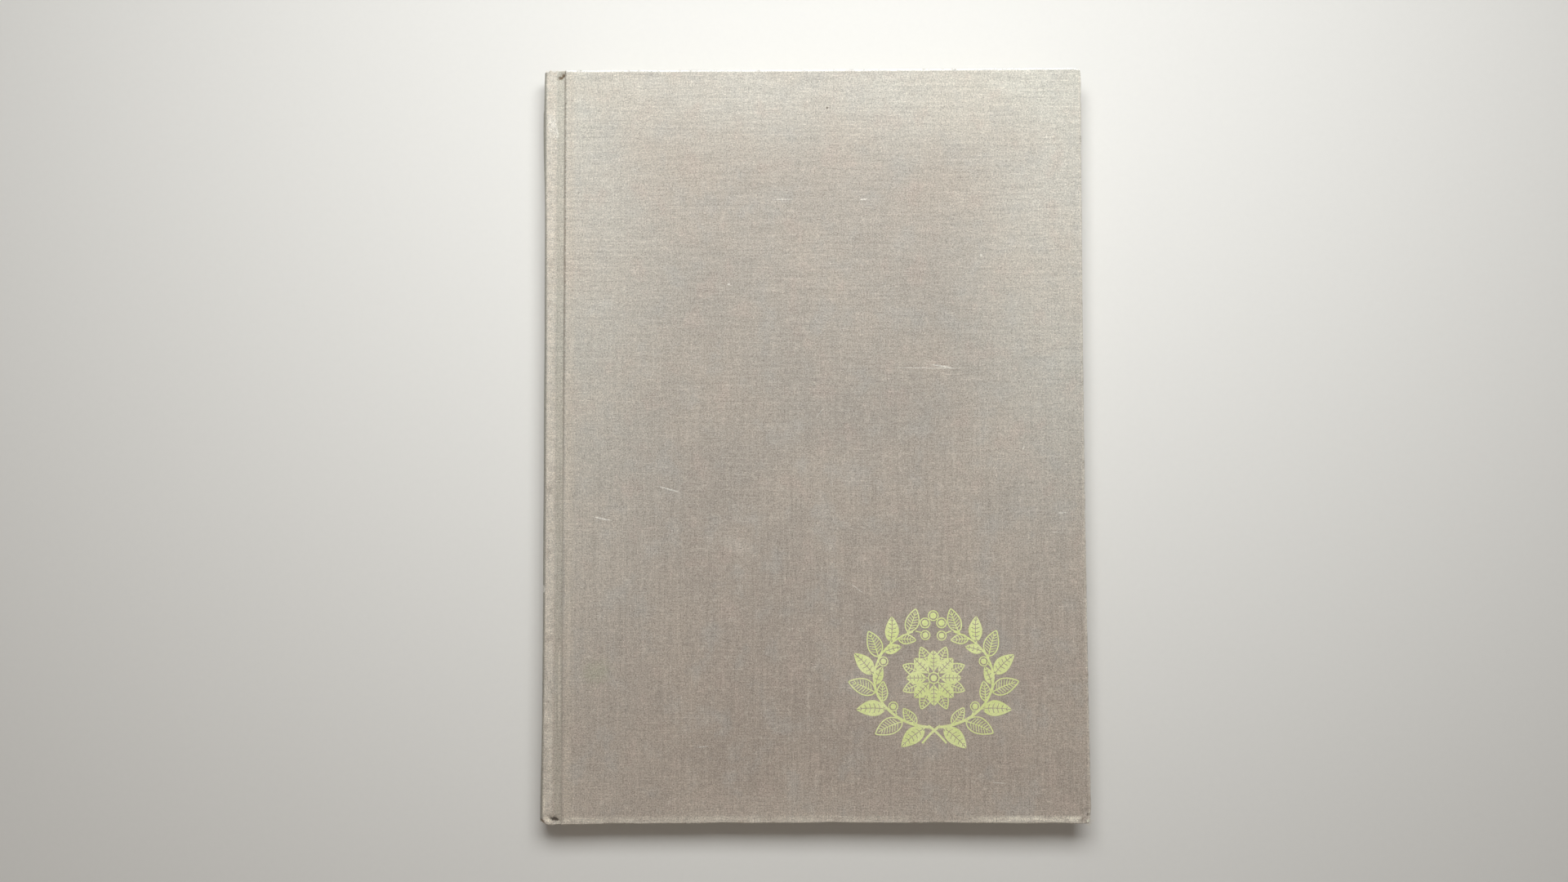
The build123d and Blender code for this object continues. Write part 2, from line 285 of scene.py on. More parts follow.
def wear_front(V, A):
    """Knocks and rubbed places of the front cloth, as the book shows them."""
    V = V.copy()
    # the groove is shallow, and most of all in its lower half
    fill = 0.22 + 0.45 * (1 - sstep(-60, 40, V[:, 1]))
    V[:, 2] += fill * np.clip(13.95 - V[:, 2], 0, 2) * sstep(12.0, 12.7, V[:, 2]) * sstep(-108.6, -107.9, V[:, 0]) * (1 - sstep(-103.6, -103.2, V[:, 0]))
    x, y, z = V[:, 0].copy(), V[:, 1].copy(), V[:, 2].copy()
    rim = A[:, 2] > 0.4
    near = rim | (np.abs(y) > H2 - 2.5) | (x > XF - 2.5)
    idx = np.where(near)[0]
    n1 = vnoise(V[idx], 3.5, 3.1)
    n2 = vnoise(V[idx], 1.3, 8.7)
    amp = 0.10 * n1 + 0.05 * n2
    top = z[idx] > 11.6
    V[idx, 2] += np.where(top, amp * 0.8, 0)
    V[idx, 1] += np.sign(y[idx]) * amp * (np.abs(y[idx]) > H2 - 1.2) * 0.9
    V[idx, 0] += amp * (x[idx] > XF - 1.2) * 0.9
    # tail edge: the cloth has lifted in low waves
    tail = (y < -H2 + 1.4) & (z > 11.4) & (x > -104)
    V[tail, 1] += 0.16 * np.sin(x[tail] * 0.21) * np.sin(x[tail] * 0.067 + 1.3)
    # fore-edge corner at the tail: bumped and frayed
    d = np.hypot(x - XF, y + H2)
    k = np.exp(-(d / 3.6) ** 2)
    V[:, 0] -= 0.75 * k
    V[:, 1] += 0.25 * k
    V[:, 2] += 0.35 * k * (z > 12.5)
    d2 = np.hypot(x - (XF - 1.6), y + H2 - 4.6)
    V[:, 2] -= 0.55 * np.exp(-(d2 / 1.6) ** 2) * (z > 13)
    # fore-edge corner at the head: slightly blunted
    d = np.hypot(x - XF, y - H2)
    k = np.exp(-(d / 2.4) ** 2)
    V[:, 0] -= 0.35 * k
    V[:, 1] -= 0.3 * k
    # small nicks in the fore edge
    for yy, a in ((144, .35), (122, .3), (86, .2), (20, .22), (-31, .25), (-72, .2), (-118, .28)):
        k = np.exp(-((y - yy) / 1.1) ** 2) * (x > XF - 1.3)
        V[:, 0] -= a * k
    # head of the back: the cloth has sunk in over the last 17 mm
    sink = sstep(H2 - 17.6, H2 - 16.2, y) * (1 - sstep(11.8, 13.5, z))
    V[:, 0] = np.where(sink > 0, x + sink * np.clip(-113.24 - x, 0, 1.6) * 0.98, V[:, 0])
    # crushed cap at the head
    cap = sstep(H2 - 5.5, H2 - 0.4, y) * (1 - sstep(-108.4, -106.2, x))
    V[:, 2] -= cap * 0.9 * (0.6 + 0.4 * np.sin(x * 1.9))
    V[:, 1] -= cap * (0.55 + 0.45 * np.sin(x * 2.3 + 0.6)) * 0.9 * sstep(H2 - 2.0, H2, y)
    hu, hv = (x + 105.5) * 0.77 + (y - 155.2) * 0.64, -(x + 105.5) * 0.64 + (y - 155.2) * 0.77
    hole = np.exp(-((hu / 2.3) ** 2 + (hv / 0.85) ** 2))
    V[:, 2] -= 1.5 * hole * (z > 11.9)
    # tail of the groove: a crescent dent with a fold of cloth below it
    dent = np.exp(-(((x + 107.2) / 2.4) ** 2 + ((y + H2 - 2.4 + 0.20 * (x + 107.2)) / 0.8) ** 2))
    V[:, 2] -= 1.05 * dent * (z > 11.7)
    fold = np.exp(-(((x + 107.6) / 3.0) ** 2 + ((y + H2 - 0.5) / 0.7) ** 2))
    V[:, 2] += 0.35 * fold * (z > 12.5)
    corner = np.exp(-(((x + 112.2) / 1.3) ** 2 + ((y + H2) / 1.8) ** 2))
    V[:, 1] += 0.9 * corner
    V[:, 0] += 0.3 * corner
    # long, very shallow unevenness of glued cloth
    face = (z > 13.2) & (x > -103) & ~rim
    i = np.where(face)[0]
    V[i, 2] += 0.045 * vnoise(V[i], 46, 1.7) + 0.02 * vnoise(V[i], 14, 5.2)
    groove = (x > -107.4) & (x < -104.2)
    i = np.where(groove)[0]
    V[i, 2] += 0.14 * vnoise(V[i] * (1, 1, 0), 22, 4.4)
    return V


def wear_back(V, A):
    V = V.copy()
    x, y, z = V[:, 0].copy(), V[:, 1].copy(), V[:, 2].copy()
    rim = A[:, 2] > 0.4
    idx = np.where(rim)[0]
    amp = 0.09 * vnoise(V[idx], 3.9, 12.1) + 0.04 * vnoise(V[idx], 1.4, 2.7)
    V[idx, 1] += np.sign(y[idx]) * amp * (np.abs(y[idx]) > H2 - 1.2)
    V[idx, 0] += amp * (x[idx] > XF - 1.2)
    for sy in (-1, 1):
        d = np.hypot(x - XF, y - sy * H2)
        k = np.exp(-(d / 2.8) ** 2)
        V[:, 0] -= 0.45 * k
        V[:, 1] -= sy * 0.35 * k
    sink = sstep(H2 - 17.6, H2 - 16.2, y) * (1 - sstep(11.8, 13.5, z))
    V[:, 0] = np.where(sink > 0, x + sink * np.clip(-113.2 - x, 0, 1.6) * 0.97, V[:, 0])
    cap = sstep(H2 - 4.5, H2 - 0.4, y) * (1 - sstep(-108.4, -106.2, x))
    V[:, 1] -= cap * (0.5 + 0.4 * np.sin(x * 2.7)) * 0.8 * sstep(H2 - 2.0, H2, y)
    face = (z > 13.2) & (x > -103) & ~rim
    i = np.where(face)[0]
    V[i, 2] -= 0.03 + 0.03 * vnoise(V[i], 50, 21.7)
    return V


def clean(V, F, attrs):
    """Merges points that lie on each other and drops faces with no area."""
    key = np.round(V / 0.0006).astype(np.int64)
    _, first, inv = np.unique(key, axis=0, return_index=True, return_inverse=True)
    inv = inv.ravel()
    V2 = V[first]
    A2 = {k: np.asarray(a)[first] for k, a in attrs.items()}
    F2 = []
    for f in F:
        g = tuple(dict.fromkeys(int(inv[i]) for i in f))
        if len(g) > 2:
            F2.append(g)
    return V2, drop_thin(V2, F2), A2


V0, A0, W0, F0 = cover_cloth("front", True)
Vf = wear_front(warp(V0), A0)
Vf, Ff, at = clean(Vf, F0, {"cloth": A0, "rest": V0, "wear": W0})
cloth_front = mesh_object("front_cloth", Vf, Ff, at)

Vb = wear_back(warp(V0, False), A0)
Vb[:, 2] = T - Vb[:, 2]
Vb[:, 2] = np.maximum(Vb[:, 2], 0.0)
V0b = V0 * (1, 1, -1) + (0, 0, T)
Ab = A0 * (-1, 1, 1)
Vb, Fb, atb = clean(Vb, F0, {"cloth": Ab, "rest": V0b, "wear": W0})
cloth_back = mesh_object("back_cloth", Vb, [tuple(reversed(f)) for f in Fb], atb)
for ob in (cloth_front, cloth_back):
    # thickness of the cloth, laid inwards; its cut edges stay crisp, so the two halves meet without a crease
    me = ob.data
    loop_edge = np.empty(len(me.loops), np.int32)
    me.loops.foreach_get("edge_index", loop_edge)
    cut = np.bincount(loop_edge, minlength=len(me.edges)) == 1
    me.attributes.new("sharp_edge", "BOOLEAN", "EDGE").data.foreach_set("value", cut)
    thick = ob.modifiers.new("thickness", "SOLIDIFY")
    thick.thickness, thick.offset = 0.22 * MM, -1.0
    dg = bpy.context.evaluated_depsgraph_get()
    ob.data = bpy.data.meshes.new_from_object(ob.evaluated_get(dg), preserve_all_data_layers=True, depsgraph=dg)
    ob.modifiers.clear()


# ------------------------------------------------------------------ boards, endpapers
def slab(name, x0, x1, y0, y1, z0, z1, nx=60, ny=80, shape=None, r=0.25):
    """Thin slab with softly rounded edges, warped like the cover it belongs to."""
    xs = np.concatenate([[x0, x0 + r * 0.3, x0 + r], np.linspace(x0 + r, x1 - r, nx)[1:-1], [x1 - r, x1 - r * 0.3, x1]])
    ys = np.concatenate([[y0, y0 + r * 0.3, y0 + r], np.linspace(y0 + r, y1 - r, ny)[1:-1], [y1 - r, y1 - r * 0.3, y1]])
    V, F = [], []
    n, m = len(xs), len(ys)

    def drop(v, lo, hi):
        d = min(v - lo, hi - v)
        return 0 if d >= r else r - math.sqrt(max(r * r - (r - d) ** 2, 0))
    for top in (1, 0):
        for x in xs:
            for y in ys:
                e = min(max(drop(x, x0, x1), drop(y, y0, y1)), (z1 - z0) * 0.45)
                V.append((x, y, (z1 - e) if top else (z0 + e)))
    for i in range(n - 1):
        for j in range(m - 1):
            a, b, c, d = i * m + j, (i + 1) * m + j, (i + 1) * m + j + 1, i * m + j + 1
            F.append((a, b, c, d))
            o = n * m
            F.append((d + o, c + o, b + o, a + o))
    loop = [(i, 0) for i in range(n)] + [(n - 1, j) for j in range(1, m)] + [(i, m - 1) for i in range(n - 2, -1, -1)] + [(0, j) for j in range(m - 2, 0, -1)]
    L = len(loop)
    for k in range(L):
        (i, j), (p, q) = loop[k], loop[(k + 1) % L]
        a, b = i * m + j, p * m + q
        F.append((b, a, a + n * m, b + n * m))
    V = np.array(V)
    rest = V.copy()
    if shape:
        V = shape(V)
    return mesh_object(name, V, F, {"rest": rest})


front_board = slab("front_grey_board", -103.1, 113.1, -156.85, 156.85, ZB0 + 0.3, ZB1 - 0.12, shape=warp)
back_board = slab("back_grey_board", -103.1, 113.1, -156.85, 156.85, T - ZB1 + 0.12, T - ZB0 - 0.3)


def endpaper(name, front):
    """Half of an endpaper: from the fold in the gutter over the joint, and glued down on the board."""
    hx = np.concatenate([np.linspace(-107.75, HINGE_B + 0.2, 34), np.linspace(-105.0, -99.0, 8), np.linspace(-97, 108.5, 68), [109.6, 110.3, XP]])
    ys = np.concatenate([np.linspace(-YP, YP, 110)])
    n, m = len(hx), len(ys)
    z_in = ZP0 if front else T - ZP0
    t = 0.16 if front else -0.16
    V, rest, F = [], [], []
    for layer in (0, 1):
        for x in hx:
            for y in ys:
                # the turned-in cloth and the gauze show through as low steps
                edge = min(XF - 15 - x, H2 - 15 - abs(y))
                step = 0.09 * float(sstep(-0.6, 0.6, edge)) * (x > -103)
                z = z_in + (t if layer else 0) + (step if front else -step) * (0 if layer else 1)
                V.append((x, y, z))
    for i in range(n - 1):
        for j in range(m - 1):
            a, b, c, d = i * m + j, (i + 1) * m + j, (i + 1) * m + j + 1, i * m + j + 1
            o = n * m
            if front:
                F += [(d, c, b, a), (a + o, b + o, c + o, d + o)]
            else:
                F += [(a, b, c, d), (d + o, c + o, b + o, a + o)]
    loop = [(i, 0) for i in range(n)] + [(n - 1, j) for j in range(1, m)] + [(i, m - 1) for i in range(n - 2, -1, -1)] + [(0, j) for j in range(m - 2, 0, -1)]
    L = len(loop)
    for k in range(L):
        (i, j), (p, q) = loop[k], loop[(k + 1) % L]
        a, b = i * m + j, p * m + q
        F.append((a, b, b + n * m, a + n * m) if front else (b, a, a + n * m, b + n * m))
    V = np.array(V, float)
    rest = V.copy()
    if front:
        V = warp(V)
    return mesh_object(name, V, F, {"rest": rest})


paste_front = endpaper("front_endpaper", True)
paste_back = endpaper("back_endpaper", False)


def curved_strip(name, r0, r1, half, y0, y1, sunk):
    """Strip of paper behind the round back, from angle -half to half; pressed in where the cloth has sunk."""
    ang = np.radians(np.linspace(-half, half, 41))
    ys = np.concatenate([np.linspace(y0, 138.0, 60), np.linspace(138.6, y1, 24)])
    n, m = len(ang), len(ys)
    V, F = [], []
    for layer in (0, 1):
        for a in ang:
            for y in ys:
                r = r1 if layer else r0
                k = float(sstep(H2 - 18.4, H2 - 16.6, y))
                r -= (sunk * k) if layer else 0.0
                r += 0.02 * math.sin(y * 0.8 + a * 9)
                V.append((CX - r * math.cos(a), y + 0.35 * math.sin(a * 14) * (abs(y) > 150), CZ + r * math.sin(a)))
    o = n * m
    for i in range(n - 1):
        for j in range(m - 1):
            a, b, c, d = i * m + j, (i + 1) * m + j, (i + 1) * m + j + 1, i * m + j + 1
            F += [(a, b, c, d), (d + o, c + o, b + o, a + o)]
    loop = [(i, 0) for i in range(n)] + [(n - 1, j) for j in range(1, m)] + [(i, m - 1) for i in range(n - 2, -1, -1)] + [(0, j) for j in range(m - 2, 0, -1)]
    for k in range(len(loop)):
        (i, j), (p, q) = loop[k], loop[(k + 1) % len(loop)]
        a, b = i * m + j, p * m + q
        F.append((b, a, a + o, b + o))
    V = np.array(V)
    return mesh_object(name, V, F, {"rest": V.copy()})


spine_paper = curved_strip("spine_stiffener", 12.59, 12.73, 24.0, -154.2, 154.2, 0.06)


# ------------------------------------------------------------------ page block
def leaf_point(u, v, out=0.0):
    """A point of the leaf at v (0 back, 1 front), u along the leaf from the spine (0) to the fore edge (1)."""
    z_flat = 3.18 + v * (T - 2 * 3.18)
    a = (v - 0.5) * 2
    # at the spine the outer leaves are bent over into the two shoulders
    z_sp = CZ + a * (3.55 + 2.5 * abs(a) ** 2.2)
    Rp = 12.0
    x_sp = CX - math.sqrt(Rp ** 2 - (z_sp - CZ) ** 2)
    fan = 4.3
    x_fore = XP - 1.0 * (1 - a * a) + out
    s = u * (x_fore - x_sp)
    k = float(sstep(0.0, fan * (0.45 + 0.55 * abs(a)), s))
    z = z_sp + (z_flat - z_sp) * k
    return x_sp + s, z


NL = 54                                            # leaves
def page_block():
    us = np.concatenate([np.linspace(0, 0.045, 16), np.linspace(0.06, 0.94, 40), [0.96, 0.975, 0.985, 0.992, 0.997, 1.0]])
    V, L, F = [], [], []
    # leaf edges: each leaf is two lines, a crisp edge and the gap beside it, set back and darkened in the paper as
    # painted shade
    vs, off, gap = [], [], []
    sect = rng.normal(0, 0.10, NL // 6 + 1)
    for k in range(NL):
        base = sect[k // 6] + rng.normal(0, 0.045)
        for f, g in ((0.10, 0.0), (0.5, 0.03), (0.90, 0.0)):
            vs.append((k + f) / NL)
            off.append(base + g)
            gap.append(0.0)
        vs.append((k + 1.0) / NL)
        off.append(base - 0.13)
        gap.append(1.0)
    vs, off, gap = np.array(vs[:-1]), np.array(off[:-1]), np.array(gap[:-1])
    nv, nu = len(vs), len(us)
    ys = np.linspace(-YP, YP, 90)
    ny = len(ys)
    wave = 0.05 * np.sin(ys / 37.0) + 0.03 * np.sin(ys / 11.0 + 1.0)
    idx = {}

    def add(x, y, z, leaf, g):
        V.append((x, y, z))
        L.append((leaf, g, 0.0))
        return len(V) - 1
    # head and tail faces
    for sgn in (1, -1):
        for i, v in enumerate(vs):
            o = off[i] * 0.8
            for j, u in enumerate(us):
                x, z = leaf_point(u, v, off[i])
                fade_and_head_sheen = min(1.0, u * 40)
                idx[(sgn, i, j)] = add(x, sgn * (YP + o * fade_and_head_sheen * 0.9 - 0.08), z, v, gap[i])
        for i in range(nv - 1):
            for j in range(nu - 1):
                q = (idx[(sgn, i, j)], idx[(sgn, i, j + 1)], idx[(sgn, i + 1, j + 1)], idx[(sgn, i + 1, j)])
                F.append(q[::-1] if sgn == 1 else q)
    # fore edge and the round back between them
    for face, j in (("fore", nu - 1), ("spine", 0)):
        for i, v in enumerate(vs):
            for m, y in enumerate(ys):
                if m in (0, ny - 1):
                    idx[(face, i, m)] = idx[(1 if m else -1, i, j)]
                    continue
                x, z = leaf_point(us[j], v, off[i] + (wave[m] if face == "fore" else 0))
                if face == "spine":
                    x = leaf_point(0, v)[0]
                idx[(face, i, m)] = add(x, y, z, v, gap[i])
        for i in range(nv - 1):
            for m in range(ny - 1):
                q = (idx[(face, i, m)], idx[(face, i, m + 1)], idx[(face, i + 1, m + 1)], idx[(face, i + 1, m)])
                F.append(q if face == "fore" else q[::-1])
    # first and last leaf
    for i, top in ((0, 0), (nv - 1, 1)):
        for m in range(ny - 1):
            prev = [None, None]
            for j in range(nu):
                if j == 0:
                    a, b = idx[("spine", i, m)], idx[("spine", i, m + 1)]
                elif j == nu - 1:
                    a, b = idx[("fore", i, m)], idx[("fore", i, m + 1)]
                else:
                    a = idx[(-1, i, j)] if m == 0 else idx.get(("s", i, m, j))
                    if a is None:
                        x, z = leaf_point(us[j], vs[i], off[i])
                        a = idx[("s", i, m, j)] = add(x, ys[m], z, vs[i], 0)
                    if m + 1 == ny - 1:
                        b = idx[(1, i, j)]
                    else:
                        b = idx.get(("s", i, m + 1, j))
                        if b is None:
                            x, z = leaf_point(us[j], vs[i], off[i])
                            b = idx[("s", i, m + 1, j)] = add(x, ys[m + 1], z, vs[i], 0)
                if prev[0] is not None:
                    q = (prev[0], a, b, prev[1])
                    F.append(q if top else q[::-1])
                prev = [a, b]
    return mesh_object("page_block", V, F, {"leaf": L, "rest": np.array(V)}, smooth=False)


pages = page_block()


# ------------------------------------------------------------------ head and tail bands
def band(name, sgn):
    """Cord worked with two threads over the end of the round back."""
    r0, cr = CX, 11.0
    path_n, ring_n = 190, 10
    V, C, F = [], [], []
    half = math.radians(23.5)
    for i in range(path_n + 1):
        a = -half + 2 * half * i / path_n
        c = np.array([CX - cr * math.cos(a), sgn * (YP + 0.72), CZ + cr * math.sin(a)])
        rad = np.array([-math.cos(a), 0, math.sin(a)])
        bead = 0.5 + 0.5 * abs(math.sin(i * math.pi / 5.0))
        for k in range(ring_n):
            t = 2 * math.pi * k / ring_n
            rr = 0.74 + 0.13 * bead
            p = c + rad * math.cos(t) * rr + np.array([0, sgn, 0]) * math.sin(t) * rr
            if p[1] * sgn < YP + 0.02:
                p[1] = sgn * (YP + 0.02)
            V.append(p)
            C.append(((i // 5) % 2, bead, 0))
    for i in range(path_n):
        for k in range(ring_n):
            a, b = i * ring_n + k, i * ring_n + (k + 1) % ring_n
            q = (a, b, b + ring_n, a + ring_n)
            F.append(q if sgn == 1 else q[::-1])
    F.append(tuple(range(ring_n)) if sgn == -1 else tuple(reversed(range(ring_n))))
    e = path_n * ring_n
    F.append(tuple(e + k for k in reversed(range(ring_n))) if sgn == -1 else tuple(e + k for k in range(ring_n)))
    return mesh_object(name, V, F, {"thread": C, "rest": np.array(V)})


head_band = band("head_band_cord", 1)
tail_band = band("tail_band_cord", -1)

# ------------------------------------------------------------------ bodies
scratch_floor = None
for ob in (cloth_front, paste_front):
    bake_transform(ob)
for ob in (cloth_back, paste_back):
    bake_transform(ob)
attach(front_board, "front_cover")
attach(back_board, "back_cover")
for ob in (pages, head_band, tail_band):
    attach(ob, "text_block")
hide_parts("front_cover_cloth", "spine_cloth")
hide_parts("back_cover_cloth")
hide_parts("front_board")
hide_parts("back_board")
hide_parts("front_pastedown")
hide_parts("back_pastedown")
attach(spine_paper, "text_block")
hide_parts("spine_inlay")
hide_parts("pages")
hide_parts("head_band")
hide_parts("tail_band")

# ------------------------------------------------------------------ gilt wreath on the front cover
GX, GY = 49.5, -98.0
polys = []                                         # (height over the cloth, closed outline in mm round (GX, GY))
LEVEL = [0.05]


def put_poly(pts):
    polys.append((LEVEL[0], pts))


def ribbon(pts, w0, w1=None, closed=False):
    """Outline of a line with a width; closed lines become a chain of quads."""
    pts = np.array(pts, float)
    w1 = w0 if w1 is None else w1
    if closed:
        n = len(pts)
        t = np.roll(pts, -1, 0) - np.roll(pts, 1, 0)
        t /= np.linalg.norm(t, axis=1)[:, None] + 1e-9
        nn = np.column_stack([-t[:, 1], t[:, 0]]) * w0 / 2
        a, b = pts + nn, pts - nn
        for k in range(n):
            j = (k + 1) % n
            put_poly([a[k], b[k], b[j], a[j]])
        return
    t = np.gradient(pts, axis=0)
    t /= np.linalg.norm(t, axis=1)[:, None] + 1e-9
    w = np.linspace(w0, w1, len(pts))[:, None] / 2
    nn = np.column_stack([-t[:, 1], t[:, 0]])
    a, b = pts + nn * w, pts - nn * w
    for k in range(len(pts) - 1):
        put_poly([a[k], b[k], b[k + 1], a[k + 1]])


def disc(c, r, n=20):
    put_poly([(c[0] + r * math.cos(t), c[1] + r * math.sin(t)) for t in np.linspace(0, 2 * math.pi, n, endpoint=False)])


def ring(c, r, w, n=28):
    ribbon([(c[0] + r * math.cos(t), c[1] + r * math.sin(t)) for t in np.linspace(0, 2 * math.pi, n, endpoint=False)], w, closed=True)


def leaf(base, ang, length, width, bend=0.0, solid=True, veins=5, shape=0.82, line=0.50):
    """A pointed leaf from base, in the direction ang. Solid leaves have the midrib and short veins left open; others are drawn in line."""
    d = np.array([math.cos(ang), math.sin(ang)])
    q = np.array([-d[1], d[0]])

    def mid(u):
        return np.array(base) + d * length * u + q * bend * length * (u * u - u)

    def prof(u):
        u = min(max(u, 0.0), 1.0)
        return width / 2 * (math.sin(math.pi * u ** shape) ** 0.8) * (1 - 0.10 * u)

    def at(u, s, k=1.0):
        return mid(u) + q * s * prof(u) * k
    if solid:
        # each half is a row of lobes: joined along the outside, parted by a short vein cut that starts at the midrib
        for s in (1, -1):
            us = np.linspace(0.03, 0.99, veins * 4 + 1)
            for a, b in zip(us[:-1], us[1:]):
                put_poly([at(a, s, 0.60), at(b, s, 0.60), at(b, s), at(a, s)])
            vs = np.linspace(0.03, 0.97, veins + 1)
            gap = 0.14 / length
            for a, b in zip(vs[:-1], vs[1:]):
                lo, hi = a + gap, b - gap
                m0, m1, m2 = lo, (lo + hi) / 2, hi
                if prof((a + b) / 2) < 0.45:
                    lo, hi = a, b
                inner = [mid(u) + q * s * min(0.15, 0.5 * prof(u)) for u in (lo, m1, hi)]
                outer = [at(min(u + 0.05, 1.0), s, 0.61) for u in (hi, m1, lo)]
                put_poly(inner + outer)
        ribbon([mid(u) for u in np.linspace(-0.08, 0.04, 3)], 0.5)
    else:
        for s in (1, -1):
            ribbon([at(u, s) for u in np.linspace(0.0, 1.0, 15)], line)
        ribbon([mid(u) for u in np.linspace(-0.08, 0.88, 9)], line, 0.26)
        for s, st_ in ((1, 1.15), (-1, 1.15)):
            for u in np.arange(0.16, 0.80, st_ / length):
                ribbon([mid(u) + q * s * 0.2, at(min(u + 0.10, 0.99), s, 0.80)], 0.34, 0.26)


def wreath():
    ax, ay = 24.6, 20.2
    r2 = np.random.default_rng(21)
    for side in (1, -1):
        LEVEL[0] = 0.05
        th = [math.radians(-90 + side * a) for a in np.linspace(5, 160, 60)]
        ribbon([np.array([ax * math.cos(t), ay * math.sin(t)]) for t in th], 1.15, 0.6)
        n = 8
        for k in range(n):
            a = 8 + 146 * (k / (n - 1)) ** 0.97
            t = math.radians(-90 + side * a)
            p = np.array([ax * math.cos(t), ay * math.sin(t)])
            tg = math.atan2(ay * math.cos(t) * side, -ax * math.sin(t) * side)
            size = 1.0 - 0.18 * (k / (n - 1)) ** 2
            LEVEL[0] = 0.066 + 0.001 * k + (0.009 if side > 0 else 0)
            out = tg - side * math.radians(47 + r2.uniform(-3, 3))
            leaf(p + np.array([math.cos(out), math.sin(out)]) * 0.9, out, 12.2 * size, 6.9 * size, 0.16 * -side, solid=(k % 2 == 0), veins=6)
            t2 = math.radians(-90 + side * (a + 8.5))
            p2 = np.array([ax * math.cos(t2), ay * math.sin(t2)])
            inn = tg + side * math.radians(46 + r2.uniform(-3, 3))
            LEVEL[0] = 0.086 + 0.001 * k + (0.009 if side > 0 else 0)
            if k % 3 == 1:
                e = p2 + 4.4 * np.array([math.cos(inn), math.sin(inn)])
                ribbon([p2, (p2 + e) / 2 + 0.3, e - 1.5 * np.array([math.cos(inn), math.sin(inn)])], 0.45)
                disc(e, 1.15)
                ring(e, 1.85, 0.42)
            elif k < n - 1:
                leaf(p2 + np.array([math.cos(inn), math.sin(inn)]) * 0.7, inn, 8.2 * size, 4.6 * size, 0.14 * side, solid=(k % 2 == 1), veins=4)
    # crossing stems at the foot, and berries at the top
    LEVEL[0] = 0.108
    for sx in (1, -1):
        ribbon([(sx * (-3.4 + 8.4 * u), -19.3 - 7.4 * u ** 1.4) for u in np.linspace(0.1, 1, 8)], 1.1, 0.8)
        LEVEL[0] += 0.008
    for (x, y) in ((0, 25.6), (-3.4, 22.6), (3.4, 22.6)):
        disc((x, y), 1.3)
        ring((x, y), 2.0, 0.45)
    # flower in the middle
    for k in range(8):
        a = 2 * math.pi * k / 8
        u = np.array([math.cos(a + math.pi / 8), math.sin(a + math.pi / 8)])
        LEVEL[0] = 0.05 + 0.002 * (k % 2)
        leaf(u * 6.3, a + math.pi / 8, 7.4, 4.6, 0.0, solid=False)
        d = np.array([math.cos(a), math.sin(a)])
        LEVEL[0] = 0.066 + 0.008 * (k % 2)
        leaf(d * 2.8, a, 8.6, 5.6, 0.0, solid=True, veins=5, shape=1.05)
    LEVEL[0] = 0.09
    disc((0, 0), 1.3)
    ring((0, 0), 2.2, 0.5)


wreath()


def on_face(P):
    """Puts points (x, y, height over the face) on the front cover as it lies."""
    P = np.asarray(P, float)
    dz = P[:, 2].copy()
    q = warp(np.column_stack([P[:, 0], P[:, 1], np.full(len(P), T)]))
    q[:, 2] += 0.045 * vnoise(q, 46, 1.7) + 0.02 * vnoise(q, 14, 5.2)
    q[:, 2] += dz
    return q


V, F = [], []
for lev, pl in polys:
    pl = [np.asarray(p, float) for p in pl]
    keep = [pl[0]]
    for p in pl[1:]:
        if np.linalg.norm(p - keep[-1]) > 0.012:
            keep.append(p)
    if np.linalg.norm(keep[0] - keep[-1]) < 0.012:
        keep.pop()
    if len(keep) < 3:
        continue
    area2 = sum(a[0] * b[1] - a[1] * b[0] for a, b in zip(keep, keep[1:] + keep[:1]))
    if abs(area2) < 0.01:
        continue
    if area2 < 0:
        keep = keep[::-1]
    n, o = len(keep), len(V)
    V += [(p[0] + GX, p[1] + GY, lev) for p in keep] + [(p[0] + GX, p[1] + GY, -0.05) for p in keep]
    F.append(tuple(range(o, o + n)))
    F.append(tuple(reversed(range(o + n, o + 2 * n))))
    for k in range(n):
        j = (k + 1) % n
        F.append((o + k, o + n + k, o + n + j, o + j))
V = np.array(V)
S_SHIFT = ds[-1] - sec[-1, 0]
gilt = mesh_object("gilt_wreath", on_face(V), F, {"cloth": np.column_stack([V[:, 0] + S_SHIFT, V[:, 1], V[:, 2] * 0]), "rest": V + (0, 0, T)}, smooth=False)


# ------------------------------------------------------------------ frayed threads
def threads(name, specs):
    """specs: (start, direction, length, radius, curl). Each is a tapering tube."""
    V, F = [], []
    r3 = np.random.default_rng(5)
    for p, d, ln, r, curl in specs:
        p, d = np.array(p, float), np.array(d, float)
        d /= np.linalg.norm(d)
        side = np.cross(d, (0.3, 0.2, 1.0))
        side /= np.linalg.norm(side)
        up = np.cross(side, d)
        ph = r3.uniform(0, 6.28)
        n, m, o = 9, 6, len(V)
        for i in range(n + 1):
            u = i / n
            c = p + d * ln * u + (side * math.cos(ph) + up * math.sin(ph)) * curl * ln * u * u + side * 0.06 * math.sin(u * 9 + ph)
            rr = r * (1 - 0.55 * u)
            for k in range(m):
                a = 2 * math.pi * k / m
                V.append(c + side * math.cos(a) * rr + up * math.sin(a) * rr)
        for i in range(n):
            for k in range(m):
                a, b = o + i * m + k, o + i * m + (k + 1) % m
                F.append((a, b, b + m, a + m))
        F.append(tuple(o + k for k in reversed(range(m))))
        F.append(tuple(o + n * m + k for k in range(m)))
    V = np.array(V)
    V[:, 2] = np.maximum(V[:, 2], 0.03)
    return mesh_object(name, V, F, {"rest": V})


